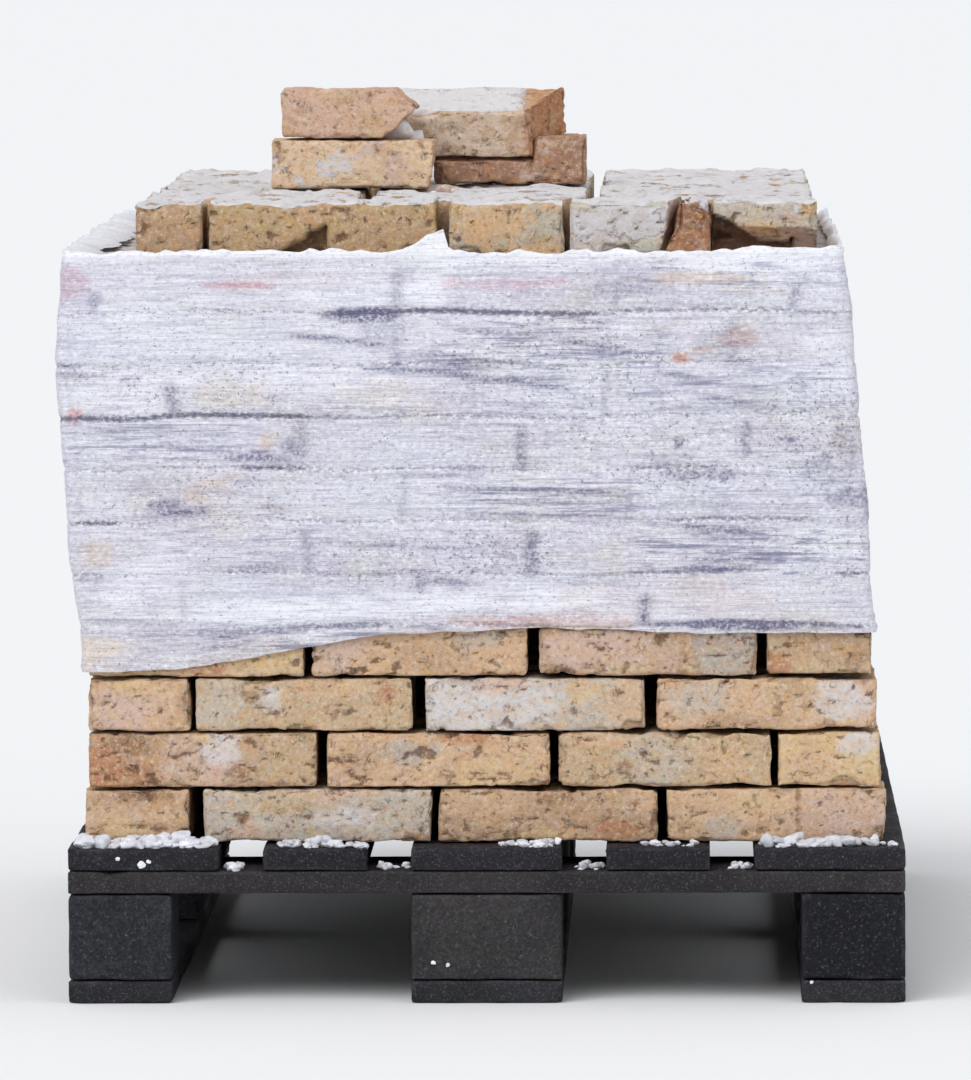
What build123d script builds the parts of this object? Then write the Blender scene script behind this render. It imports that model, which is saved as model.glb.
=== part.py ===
from build123d import *
import math
import os
import random

# Pallet of reclaimed bricks: a block pallet, eleven bonded courses, a part course and stretch film.
# The frame is that of the pallet: millimetres, +X along its 800 mm front, +Y into its depth,
# +Z up, and the origin on the floor at the middle of its footprint.

# Pallet: an 800 by 1200 mm four-way block pallet
pallet_width = 800.0
pallet_length = 1200.0
board_thickness = 22.0
block_height = 83.0
wide_board = 145.0
narrow_board = 100.0
board_wear = 1.5
corner_cut = 9.0

# Bricks: reclaimed, with their old mortar on them
brick_length = 213.5
brick_width = 102.0
brick_height = 50.5
brick_wear = 4.0

# Stacking of the load
course_count = 11
bare_courses = 4
front_ledge = 45.0
rear_ledge = 60.0
bare_height = (53.0, 54.0, 52.5, 49.0)
covered_height = 50.0
end_joint = 5.0
least_row_joint = 3.0
lean_base = 2.5
lean_top = 30.0
lean_curve = 1.6
brick_yaw = 0.8
length_spread = 4.0
width_spread = 2.0

# Front row of the bare courses, from left to right: how much longer than the brick's
# nominal size each one is, and the open joint after it
front_extra = (
    (3.5, 8.0, -0.5, 0.0),
    (8.0, 2.0, -5.0, -3.0),
    (-1.5, -3.5, 0.5, -1.0),
    (-5.0, -5.0, -2.0, 0.5),
)
front_joint = (
    (9.5, 4.0, 4.5),
    (8.0, 4.5, 4.0),
    (3.0, 8.5, 9.0),
    (6.0, 8.5, 6.5),
)
covered_extra = (-4.5, 0.0)
covered_joint = (2.5, 5.0)

# Part course on top, set in from the course below it
top_inset_left = 65.0
top_width = 656.0
top_setback = 30.0
top_rows = 9
top_height = 55.0
top_row_joint = 7.0
break_joint = 3.0
short_bat = 68.0
half_bat = 113.0
pale_bat = 106.0
sliver_bat = 42.0
break_depth = 18.0
hollow_depth = 34.0
hollow_share = 0.5

# Loose broken bricks on the part course: lengths, and places of their left ends
loose_front = -200.0
left_bat_start = -221.0
left_bat_length = 167.0
left_bat_taper = 8.0
upper_bat_start = -210.0
upper_bat_length = 139.0
upper_bat_nose = 24.0
upper_bat_undercut = 35.0
nose_height = 32.0
right_bat_start = -62.0
right_bat_length = 155.0
right_bat_low = 27.0
across_start = -133.0
across_length = 208.0
across_break = 37.0
loose_gap = 2.0

# Stretch film round the upper courses
film_thickness = 1.0
film_clearance = 0.5
film_lip = 9.0
lip_lean = 3.0
film_bulge = 9.0
film_drop = 36.0
film_drop_run = 320.0
film_hem = 4.0

dice = random.Random(7)


def worn_box(size_x, size_y, size_z, wear):
    """A box with its edges worn off."""
    return chamfer(Box(size_x, size_y, size_z).edges(), wear)


def seat(solid, x, y, z_bottom, height, turn=0.0):
    """Stand a centred solid on the level z_bottom."""
    return Pos(x, y, z_bottom + height / 2) * Rot(0, 0, turn) * solid


def save(name, solids):
    """Write one piece, or the like pieces of one layer."""
    export_step(solids[0] if len(solids) == 1 else Compound(children=solids), f"parts/{name}.step")


# Pallet

def pallet_columns():
    """Name, middle and width of the three lines of blocks, from left to right."""
    outer = (pallet_width - narrow_board) / 2
    return (("left", -outer, narrow_board), ("middle", 0.0, wide_board), ("right", outer, narrow_board))


def pallet_rows():
    """Name and middle of the three rows of blocks, from front to rear."""
    outer = (pallet_length - wide_board) / 2
    return (("front", -outer), ("centre", 0.0), ("rear", outer))


def cut_outer_corners(solid, side):
    """Saw the upright corners of a piece off where they are corners of the pallet."""
    corners = [
        edge for edge in solid.edges().filter_by(Axis.Z)
        if edge.center().X * side > pallet_width / 2 - 1 and abs(edge.center().Y) > pallet_length / 2 - 1
    ]
    return chamfer(corners, corner_cut) if corners else solid


def make_pallet():
    """Three bottom boards, nine blocks, three stringer boards and five deck boards."""
    block_level = board_thickness
    stringer_level = block_level + block_height
    deck_level = stringer_level + board_thickness
    for column, x, width in pallet_columns():
        side = (x > 0) - (x < 0)
        board = seat(Box(width, pallet_length, board_thickness), x, 0, 0, board_thickness)
        board = cut_outer_corners(board, side)
        save(f"bottom_board_{column}", [chamfer(board.faces().sort_by(Axis.Z)[0].edges(), board_wear)])
        for row, y in pallet_rows():
            block = seat(Box(width, wide_board, block_height), x, y, block_level, block_height)
            save(f"block_{row}_{column}", [cut_outer_corners(block, side)])
    for row, y in pallet_rows():
        board = worn_box(pallet_width, wide_board, board_thickness, board_wear)
        save(f"stringer_{row}", [seat(board, 0, y, stringer_level, board_thickness)])
    widths = (wide_board, narrow_board, wide_board, narrow_board, wide_board)
    gap = (pallet_width - sum(widths)) / (len(widths) - 1)
    x_left = -pallet_width / 2
    for number, width in enumerate(widths, start=1):
        board = worn_box(width, pallet_length, board_thickness, board_wear)
        save(f"deck_board_{number}", [seat(board, x_left + width / 2, 0, deck_level, board_thickness)])
        x_left += width + gap
    return deck_level + board_thickness


# Courses of bricks

def load_depth():
    """Depth of a full course, and how many bricks lie along it."""
    room = pallet_length - front_ledge - rear_ledge
    along = int((room + end_joint) / (brick_length + end_joint))
    return along * (brick_length + end_joint) - end_joint, along


def course_height(course):
    """Thickness of the bricks of a course: the bare courses are thicker than the rest."""
    return bare_height[(course - 1) % len(bare_height)] if course <= bare_courses else covered_height


def brick(length, width, height, x, y, z_bottom, turn, worn):
    """One brick; those that show have worn edges."""
    body = worn_box(length, width, height, brick_wear) if worn else Box(length, width, height)
    return seat(body, x, y, z_bottom, height, turn)


def course_slots(course):
    """Left and right of each column of a course: three of stretchers and one of headers.

    The header column changes sides from course to course, which bonds the load.
    """
    header_left = course % 2 == 1
    nominal = [brick_length] * 3
    nominal.insert(0 if header_left else 3, brick_width)
    if course <= bare_courses:
        extra = front_extra[(course - 1) % len(front_extra)]
        joints = front_joint[(course - 1) % len(front_joint)]
    else:
        extra = [dice.uniform(*covered_extra) for _ in nominal]
        joints = [dice.uniform(*covered_joint) for _ in nominal[1:]]
    sizes = [base + more for base, more in zip(nominal, extra)]
    climb = (course - 1) / (course_count - 1)
    middle = -lean_base - lean_top * climb ** lean_curve
    left = middle - (sum(sizes) + sum(joints)) / 2
    slots = []
    for size, joint in zip(sizes, list(joints) + [0.0]):
        slots.append((left, left + size))
        left += size + joint
    return slots, (0 if header_left else 3)


def stretcher_rows(slot, front, rows, pitch, z_bottom, height, exposed, first_row=0):
    """A column of bricks laid along X, one behind the other; exposed(row) says which ones show."""
    left, right = slot
    bricks = []
    for row in range(first_row, rows):
        short = 0.0 if row == 0 else dice.uniform(0.0, length_spread)
        thin = dice.uniform(0.0, width_spread)
        shift = dice.uniform(-0.5, 0.5) * short
        turn = 0.0 if row == 0 else dice.uniform(-brick_yaw, brick_yaw)
        x = (left + right) / 2 + shift
        y = front + row * pitch + brick_width / 2
        size = (right - left - short, brick_width - thin, height)
        bricks.append(brick(*size, x, y, z_bottom, turn, exposed(row)))
    return bricks


def header_column(slot, front, depth, count, z_bottom, height):
    """A column of bricks laid along Y, end to end, as one side of a course."""
    left, right = slot
    pitch = (depth - brick_length) / max(count - 1, 1)
    bricks = []
    for place in range(count):
        short = dice.uniform(0.0, length_spread)
        thin = 0.0 if place == 0 else dice.uniform(0.0, width_spread)
        turn = 90.0 + dice.uniform(-brick_yaw, brick_yaw) * 0.4
        y = front + place * pitch + brick_length / 2
        x = (left + right) / 2
        size = (brick_length - short, right - left - thin, height)
        bricks.append(brick(*size, x, y, z_bottom, turn, True))
    return bricks


def make_course(course, z_bottom):
    """All bricks of one full course."""
    depth, along = load_depth()
    rows = int((depth + least_row_joint) / (brick_width + least_row_joint))
    pitch = (depth - brick_width) / (rows - 1)
    front = -pallet_length / 2 + front_ledge
    slots, header_place = course_slots(course)
    height = course_height(course)
    bricks = header_column(slots[header_place], front, depth, along, z_bottom, height)
    outer_place = 3 - header_place
    for place, slot in enumerate(slots):
        if place != header_place:
            def exposed(row, outer=(place == outer_place)):
                return outer or row in (0, rows - 1)
            bricks += stretcher_rows(slot, front, rows, pitch, z_bottom, height, exposed)
    return bricks


# Part course and loose broken bricks

def half_space(origin, normal):
    """A plane for keeping the part of a brick that lies behind it."""
    return Plane(origin=origin, z_dir=normal)


def broken(solid, *planes):
    """Keep what lies behind every plane."""
    for plane in planes:
        solid = split(solid, bisect_by=plane, keep=Keep.BOTTOM)
    return solid


def bat(length, height, x_left, y_front, z_bottom):
    """A short piece of brick with worn edges, placed by its lower front left corner."""
    body = worn_box(length, brick_width, height, brick_wear)
    return seat(body, x_left + length / 2, y_front + brick_width / 2, z_bottom, height)


def broken_front_row(x_left, y_front, z_bottom):
    """The front row of the part course: a bat, a whole brick and four broken pieces."""
    pieces = [bat(short_bat, top_height, x_left, y_front, z_bottom)]
    x = x_left + short_bat + break_joint
    whole = brick_length + front_extra[0][1] - 1
    pieces.append(bat(whole, top_height, x, y_front, z_bottom))
    x += whole + front_joint[0][0]
    pieces.append(bat(half_bat, top_height, x, y_front, z_bottom))
    x += half_bat + break_joint
    slope = (brick_width, -break_depth, 0)
    pale = bat(pale_bat, top_height, x, y_front, z_bottom)
    x += pale_bat
    pieces.append(broken(pale, half_space((x - break_depth, y_front, z_bottom), slope)))
    x += break_joint - break_depth
    sliver = bat(sliver_bat, top_height, x, y_front, z_bottom)
    back = half_space((x, y_front, z_bottom), (-brick_width, break_depth, 0))
    pieces.append(broken(sliver, back))
    x += sliver_bat + break_joint
    right_end = x_left + top_width
    last = bat(right_end - x, top_height, x, y_front, z_bottom)
    edge = (x, y_front, z_bottom + hollow_share * top_height)
    hollow = half_space(edge, (0, -hollow_share * top_height, -hollow_depth))
    pieces.append(broken(last, hollow))
    return pieces


def make_top_course(below, z_bottom):
    """The part course: three columns of stretchers, with a broken front row."""
    x_left = below.min.X + top_inset_left
    y_front = below.min.Y + top_setback
    pitch = brick_width + top_row_joint
    pieces = broken_front_row(x_left, y_front, z_bottom)
    for column in range(3):
        left = x_left + column * (top_width - brick_length) / 2
        slot = (left, left + brick_length)
        pieces += stretcher_rows(
            slot, y_front, top_rows, pitch, z_bottom, top_height, lambda row: True, 1)
    return pieces


def make_loose_bricks(z_bottom):
    """Four broken bricks left on top: two in a pile at the left, one lying across the fourth."""
    left_bat = bat(left_bat_length, brick_height, left_bat_start, loose_front, z_bottom)
    left_end = left_bat_start + left_bat_length
    taper = half_space((left_end, loose_front, z_bottom + brick_height), (brick_height, 0, -left_bat_taper))
    save("loose_brick_left", [broken(left_bat, taper)])

    upper_level = z_bottom + brick_height
    upper = bat(upper_bat_length, brick_height, upper_bat_start, loose_front, upper_level)
    nose = (upper_bat_start + upper_bat_length, loose_front, upper_level + nose_height)
    above = half_space(nose, (brick_height - nose_height, 0, upper_bat_nose))
    below = half_space(nose, (nose_height, 0, -upper_bat_undercut))
    save("loose_brick_upper", [broken(upper, above, below)])

    tilt = math.degrees(math.atan2(brick_height - right_bat_low, brick_width))
    nod = brick_height * math.sin(math.radians(tilt))
    second_front = loose_front + brick_width + loose_gap + nod
    slope_edge = (across_start, second_front, z_bottom + right_bat_low)
    whole = worn_box(across_length, brick_width, brick_height, brick_wear)
    lying = Pos(across_length / 2, brick_width / 2, brick_height / 2) * whole
    lying = Pos(*slope_edge) * Rot(tilt, 0, 0) * lying
    break_left = across_start + across_length - across_break
    break_normal = (brick_width, -across_break, 0)
    across = broken(lying, half_space((break_left, second_front, z_bottom), break_normal))
    save("loose_brick_across", [across])

    base = bat(right_bat_length, brick_height, right_bat_start, second_front, z_bottom)
    room = Pos(0, brick_width / 2, brick_height) * Box(2 * across_length, 3 * brick_width, 2 * brick_height)
    room = Pos(right_bat_start, second_front, z_bottom + right_bat_low) * Rot(tilt, 0, 0) * room
    clear_of_break = half_space((break_left + loose_gap, second_front, z_bottom), break_normal)
    save("loose_brick_right", [base - broken(room, clear_of_break)])


# Stretch film

def ring(box, out, cut, z, bulge=0.0, inward=0.0):
    """Corners of the film's outline at one level, standing off a box by out."""
    left, right = box[0] - out - bulge + inward, box[1] + out - inward
    front, rear = box[2] - out + inward, box[3] + out - inward
    return [
        (left + cut, front, z), (right - cut, front, z), (right, front + cut, z), (right, rear - cut, z),
        (right - cut, rear, z), (left + cut, rear, z), (left, rear - cut, z), (left, front + cut, z),
    ]


def polygon(points):
    """A closed wire through points."""
    return Wire.make_polygon([Vector(*point) for point in points], close=True)


def wall_faces(rings):
    """Flat faces between one ring and the next."""
    faces = []
    for low, high in zip(rings, rings[1:]):
        for place in range(len(low)):
            follow = (place + 1) % len(low)
            faces.append(Face(polygon([low[place], low[follow], high[follow], high[place]])))
    return faces


def around(first, second):
    """Left, right, front and rear of what two courses take up together."""
    return (
        min(first.min.X, second.min.X), max(first.max.X, second.max.X),
        min(first.min.Y, second.min.Y), max(first.max.Y, second.max.Y),
    )


def make_film(boxes):
    """The wrap: a thin band that follows the lean of the courses, with a lip and a slanting hem."""
    wrapped = boxes[bare_courses - 1:]
    levels = [(wrapped[0].min.Z, around(wrapped[0], wrapped[0]))]
    levels += [(high.min.Z, around(low, high)) for low, high in zip(wrapped, wrapped[1:])]
    levels.append((wrapped[-1].max.Z, around(wrapped[-1], wrapped[-1])))
    bottom, top = levels[0][0], levels[-1][0]
    bulge_top = bottom + 0.7 * (top - bottom)
    inner_rings = []
    outer_rings = []
    inner_cut = brick_wear
    outer_cut = inner_cut + film_thickness * (2 - math.sqrt(2))
    for z, box in levels:
        bulge = film_bulge * max(0.0, math.sin(math.pi * (z - bottom) / (bulge_top - bottom)))
        inner_rings.append(ring(box, film_clearance, inner_cut, z, bulge))
        outer_rings.append(ring(box, film_clearance + film_thickness, outer_cut, z, bulge))
    box = levels[-1][1]
    inner_rings.append(ring(box, film_clearance, inner_cut, top + film_lip, 0, lip_lean))
    outer_rings.append(ring(box, film_clearance + film_thickness, outer_cut, top + film_lip, 0, lip_lean))
    faces = wall_faces(outer_rings) + wall_faces(inner_rings)
    faces += [Face(polygon(outer_rings[place]), [polygon(inner_rings[place])]) for place in (0, -1)]
    band = Solid(Shell(faces))
    hem = boxes[bare_courses - 1].max.Z + film_hem
    left = -pallet_width
    slope_start = levels[0][1][0]
    below_hem = polygon([
        (left, -pallet_length, bottom - film_drop), (left, -pallet_length, hem - film_drop),
        (slope_start, -pallet_length, hem - film_drop), (slope_start + film_drop_run, -pallet_length, hem),
        (-left, -pallet_length, hem), (-left, -pallet_length, bottom - film_drop),
    ])
    waste = extrude(Face(below_hem), 2 * pallet_length, dir=(0, 1, 0))
    return band - waste


def main():
    os.makedirs("parts", exist_ok=True)
    level = make_pallet()
    boxes = []
    for course in range(1, course_count + 1):
        bricks = make_course(course, level)
        save(f"course_{course:02d}", bricks)
        boxes.append(Compound(children=bricks).bounding_box())
        level += course_height(course)
    save("top_course", make_top_course(boxes[-1], level))
    make_loose_bricks(level + top_height)
    save("stretch_film", [make_film(boxes)])


main()
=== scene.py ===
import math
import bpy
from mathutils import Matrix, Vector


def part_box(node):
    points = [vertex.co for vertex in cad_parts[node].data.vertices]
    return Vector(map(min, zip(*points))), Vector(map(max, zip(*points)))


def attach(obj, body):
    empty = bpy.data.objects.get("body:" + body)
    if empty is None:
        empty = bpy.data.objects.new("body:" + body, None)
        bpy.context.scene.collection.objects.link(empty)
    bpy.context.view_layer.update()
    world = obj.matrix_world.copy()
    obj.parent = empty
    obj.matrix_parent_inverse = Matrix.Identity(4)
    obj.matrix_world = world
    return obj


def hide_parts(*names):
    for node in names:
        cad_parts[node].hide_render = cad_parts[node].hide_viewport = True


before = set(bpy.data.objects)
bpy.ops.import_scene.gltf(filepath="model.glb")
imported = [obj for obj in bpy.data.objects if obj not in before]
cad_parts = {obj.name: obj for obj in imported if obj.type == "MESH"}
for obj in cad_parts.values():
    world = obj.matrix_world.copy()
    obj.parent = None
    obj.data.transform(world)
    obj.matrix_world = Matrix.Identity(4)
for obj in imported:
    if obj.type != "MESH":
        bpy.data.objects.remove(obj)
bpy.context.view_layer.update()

# Looks of the pallet of reclaimed bricks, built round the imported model. Lengths are in
# millimetres unless a comment says otherwise. X is to the right, Y to the rear and Z up.

from types import SimpleNamespace

import bpy
import numpy as np
from mathutils import Quaternion, Vector

MM = 0.001
COURSES = 11
BARE_COURSES = 4

# The camera: its place from the middle of the pallet's footprint in metres, its long lens,
# the way it looks and how far it leans to one side
EYE = Vector((0.19, -9.9, 1.10))
LENS = 326.8
FACING = Vector((-0.0204, 1.0, -0.0706))
ROLL = math.radians(0.2)

# Colours in sRGB
APRICOT = (230, 193, 158)
YELLOW = (238, 206, 160)
OCHRE = (214, 187, 152)
STONE = (213, 203, 190)
PINK = (230, 200, 186)
TAN = (204, 169, 139)
BROWN = (158, 120, 92)
RUST = (198, 134, 96)
LIME = (240, 237, 240)
GREY = (190, 186, 180)
# Painted shade in pits, cracks and small holes
PIT_SHADE = (84, 58, 44)
FILM_WHITE = (213, 213, 226)
FILM_LINE = (130, 130, 158)
MORTAR = (240, 240, 248)


def linear(colour):
    """An sRGB colour, 0 to 255, as linear values."""
    scaled = np.asarray(colour, float) / 255
    return np.where(scaled <= 0.04045, scaled / 12.92, ((scaled + 0.055) / 1.055) ** 2.4)


# Noise

def lattice(cells, seed):
    """A fixed number from 0 to 1 for each whole-numbered cell."""
    x, y, z = cells.T
    mixed = x * 73856093 ^ y * 19349663 ^ z * 83492791 ^ (seed * 40503 + 977)
    mixed = (mixed ^ (mixed >> 13)) * 1274126177 & 0x7FFFFFFF
    mixed = (mixed ^ (mixed >> 15)) * 668265263 & 0x7FFFFFFF
    return (mixed & 0xFFFF) / 65535.0


def noise(points, size, seed):
    """Smooth noise from -1 to 1, with lumps about as large as size, one number or three."""
    scaled = points / np.asarray(size, float)
    base = np.floor(scaled).astype(np.int64)
    part = scaled - base
    ease = part * part * (3 - 2 * part)
    total = np.zeros(len(points))
    for corner in range(8):
        step = np.array([corner & 1, corner >> 1 & 1, corner >> 2 & 1])
        weight = np.prod(np.where(step == 1, ease, 1 - ease), axis=1)
        total += weight * lattice(base + step, seed)
    return total * 2 - 1


def rough_noise(points, size, seed):
    """Noise with two finer layers on top."""
    total = np.zeros(len(points))
    for layer in range(3):
        finer = 2 ** layer
        total += noise(points, np.asarray(size, float) / finer, seed + 31 * layer) / finer
    return total / 1.75


def ramp(values, low, high):
    """0 below low, 1 above high, and smooth between."""
    part = np.clip((values - low) / (high - low), 0, 1)
    return part * part * (3 - 2 * part)


def window(values, low, high, outside, inside):
    """1 from low to high and 0 elsewhere, with ends as soft as given outside and inside."""
    start = ramp(values, low - outside, low + inside)
    return start * (1 - ramp(values, high - inside, high + outside))


def mixed(first, second, share):
    """Two colours, or rows of colours, mixed by a share for each point."""
    return first * (1 - share[:, None]) + second * share[:, None]


# Meshes

class Heap:
    """Points, faces of four corners and colours of shapes that become one piece."""

    def __init__(self):
        self.points = []
        self.faces = []
        self.colours = {"tone": [], "second": [], "mask": [], "mix": []}
        self.count = 0

    def add(self, points, faces, **colours):
        self.points.append(points)
        self.faces.append(faces + self.count)
        self.count += len(points)
        for key, values in self.colours.items():
            values.append(np.broadcast_to(colours.get(key, (0.0, 0.0, 0.0)), (len(points), 3)))

    def build(self, name, material, nodes):
        points, faces = np.concatenate(self.points), np.concatenate(self.faces)
        mesh = bpy.data.meshes.new(name)
        mesh.vertices.add(len(points))
        mesh.vertices.foreach_set("co", (points * MM).astype(np.float32).ravel())
        mesh.loops.add(faces.size)
        mesh.loops.foreach_set("vertex_index", faces.astype(np.int32).ravel())
        mesh.polygons.add(len(faces))
        mesh.polygons.foreach_set("loop_start", np.arange(0, faces.size, 4, dtype=np.int32))
        mesh.update(calc_edges=True)
        mesh.validate()
        mesh.polygons.foreach_set("use_smooth", np.full(len(faces), True))
        for key, values in self.colours.items():
            layer = mesh.color_attributes.new(key, "FLOAT_COLOR", "POINT")
            colours = np.ones((len(points), 4), np.float32)
            colours[:, :3] = np.concatenate(values)
            layer.data.foreach_set("color", colours.ravel())
        piece = bpy.data.objects.new(name, mesh)
        bpy.context.scene.collection.objects.link(piece)
        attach(piece, "root")
        piece.data.materials.append(material)
        if nodes:
            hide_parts(*nodes)
        return piece


def node_box(node):
    """Lowest and highest corner of a CAD node."""
    return [np.array(corner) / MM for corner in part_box(node)]


def turning(angle, axis):
    """The matrix that turns points round X, which is axis 0, or Z, which is axis 2."""
    first, second = (axis + 1) % 3, (axis + 2) % 3
    turn = np.eye(3)
    turn[first, first] = turn[second, second] = math.cos(angle)
    turn[second, first] = math.sin(angle)
    turn[first, second] = -math.sin(angle)
    return turn


EDGE_STRIP = 1.6


def cuts(length, step, fine):
    """Places of the grid lines along one side: even where it shows, else close only at the ends."""
    half = length / 2
    if fine:
        inner = np.linspace(-half, half, max(3, round(length / step)) + 1)[1:-1]
        lines = np.concatenate([[-half, -half + EDGE_STRIP], inner, [half - EDGE_STRIP, half]])
        return np.unique(np.round(lines, 3))
    near = np.array([0, EDGE_STRIP, 4.5, 9.0])
    near = near[near < half * 0.8]
    return np.concatenate([-half + near, (half - near)[::-1]])


def box_grid(lines):
    """Points and faces of a closed box with grid lines at the given places along X, Y and Z."""
    counts = [len(line) for line in lines]
    cells = np.indices(counts)
    ends = [(cell == 0) | (cell == count - 1) for cell, count in zip(cells, counts)]
    shell = np.any(ends, axis=0)
    index = -np.ones(counts, int)
    index[shell] = np.arange(shell.sum())
    points = np.stack([line[cell[shell]] for line, cell in zip(lines, cells)], axis=1)
    faces = []
    for axis in range(3):
        for side in (0, -1):
            sheet = index.take(side, axis)
            corners = (sheet[:-1, :-1], sheet[1:, :-1], sheet[1:, 1:], sheet[:-1, 1:])
            quad = np.stack(corners, axis=-1).reshape(-1, 4)
            faces.append(quad[:, ::-1] if (side == -1) == (axis == 1) else quad)
    return points, np.concatenate(faces)


def ring_faces(rows, count):
    """Faces between rows of points that each close to a ring."""
    index = np.arange(rows * count).reshape(rows, count)
    follow = np.roll(index, -1, axis=1)
    return np.stack([index[:-1], follow[:-1], follow[1:], index[1:]], axis=-1).reshape(-1, 4)


def worn(points, half, radius):
    """Round the edges of box points; returns the points and the way out at each."""
    radius = np.minimum(radius, half.min() * 0.9)[:, None]
    core = np.clip(points, -(half - radius), half - radius)
    out = points - core
    out = out / np.linalg.norm(out, axis=1, keepdims=True)
    return core + out * radius, out


def dent(points, centre, size):
    """Push points that lie inside a ball back to its surface; returns which ones moved."""
    arm = points - centre
    reach = np.linalg.norm(arm, axis=1)
    wall = np.broadcast_to(size, reach.shape)
    hit = reach < wall
    points[hit] = centre + arm[hit] / reach[hit, None] * wall[hit, None]
    return hit


def cut_off(world, normal, level):
    """Push points that lie beyond a plane back to it; returns which ones moved."""
    over = world @ normal - level
    hit = over > 0
    world[hit] -= normal * over[hit, None]
    return hit


# Bricks

# Steps of the grids along X, Y and Z: on the front, on the other sides, behind the film and
# on the loose bricks
FRONT_STEPS = (2.9, 5.8, 2.9)
SIDE_STEPS = (7.4, 7.4, 7.4)
HIDDEN_STEPS = (20.0, 20.0, 20.0)
LOOSE_STEPS = (2.6, 4.4, 2.6)

# Triangles of a broken face have at least half this area, and aren't part of a chamfer
BREAK_AREA = 600
CHAMFER = 0.7071


def parts_of(node):
    """Corner points and triangles of each separate solid in a CAD node."""
    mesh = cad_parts[node].data
    points = np.empty(len(mesh.vertices) * 3)
    mesh.vertices.foreach_get("co", points)
    mesh.calc_loop_triangles()
    triangles = np.empty(len(mesh.loop_triangles) * 3, int)
    mesh.loop_triangles.foreach_get("vertices", triangles)
    keys, joined = np.unique(np.round(points.reshape(-1, 3) / MM, 2), axis=0, return_inverse=True)
    triangles = joined.ravel()[triangles].reshape(-1, 3)
    label = np.arange(len(keys))
    while True:
        low = label[triangles].min(axis=1)
        fresh = label.copy()
        np.minimum.at(fresh, triangles.ravel(), np.repeat(low, 3))
        if (fresh == label).all():
            break
        label = fresh
    return [(keys, triangles[label[triangles[:, 0]] == part]) for part in np.unique(label)]


def measure(keys, triangles, tilted=False):
    """Middle, half sizes, turning matrix and flat broken faces of one solid."""
    corners = keys[triangles]
    normals = np.cross(corners[:, 1] - corners[:, 0], corners[:, 2] - corners[:, 0])
    areas = np.linalg.norm(normals, axis=1)
    normals = normals / areas[:, None]
    if tilted:
        up = normals[np.where(normals[:, 2] > 0.7, areas, 0).argmax()]
        turn = turning(math.atan2(-up[1], up[2]), 0)
    else:
        facing = normals[np.where(np.abs(normals[:, 2]) < 0.1, areas, 0).argmax()]
        yaw = math.atan2(facing[1], facing[0])
        turn = turning(yaw - round(yaw / (math.pi / 2)) * math.pi / 2, 2)
    local = keys[np.unique(triangles)] @ turn
    low, high = local.min(axis=0), local.max(axis=0)
    flats = []
    for normal, corner, area in zip(normals, corners, areas):
        _, middle, largest = np.sort(np.abs(normal @ turn))
        slanted = middle > 0.03 and abs(largest - CHAMFER) > 0.005
        known = any(np.allclose(normal, other, atol=0.01) for other, _ in flats)
        if area > BREAK_AREA and slanted and not known:
            flats.append((normal, normal @ corner[0]))
    middle, half = turn @ (low + high) / 2, (high - low) / 2
    return {"middle": middle, "half": half, "turn": turn, "flats": flats}


def skin(place, out):
    """How deep a brick's surface is worn at each point, and how much painted shade its hollows and
    creases get.
    """
    broad = 0.5 + 0.5 * rough_noise(place, (62, 62, 40), 11)
    lumpy = 0.5 + 0.5 * noise(place, 13, 13)
    fine = 0.5 + 0.5 * noise(place, 5.0, 17)
    warped = place + 5 * np.stack([noise(place, 11, seed) for seed in (19, 20, 21)], axis=1)
    hollows = ramp(noise(warped, (10, 10, 5), 23), 0.34, 0.72)
    crease = 1 - np.abs(noise(place + 9 * noise(place, 25, 27)[:, None], (70, 70, 11), 29))
    furrow = ramp(crease, 0.90, 0.995) * ramp(noise(place, 42, 31), 0.0, 0.4)
    sag = ramp(noise(place, (44, 44, 400), 37), -0.15, 0.75) * ramp(np.abs(out[:, 2]), 0.25, 0.7)
    slack = ramp(noise(place, (400, 52, 46), 43), -0.1, 0.85) * ramp(np.abs(out[:, 0]), 0.25, 0.7)
    edge = ramp(np.sort(np.abs(out), axis=1)[:, 1], 0.2, 0.5)
    nibbled = ramp(noise(place, (13, 13, 30), 45), 0.25, 0.7) * edge
    depth = 1.5 * broad + 0.9 * lumpy + 0.9 * fine + 1.8 * hollows + 2.2 * furrow - 0.5
    depth += 3.2 * sag + 2.4 * slack + 3.0 * nibbled
    # The second value is where the hollows and creases get painted shade
    return depth, np.clip(hollows + 0.9 * furrow, 0, 1)


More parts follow.
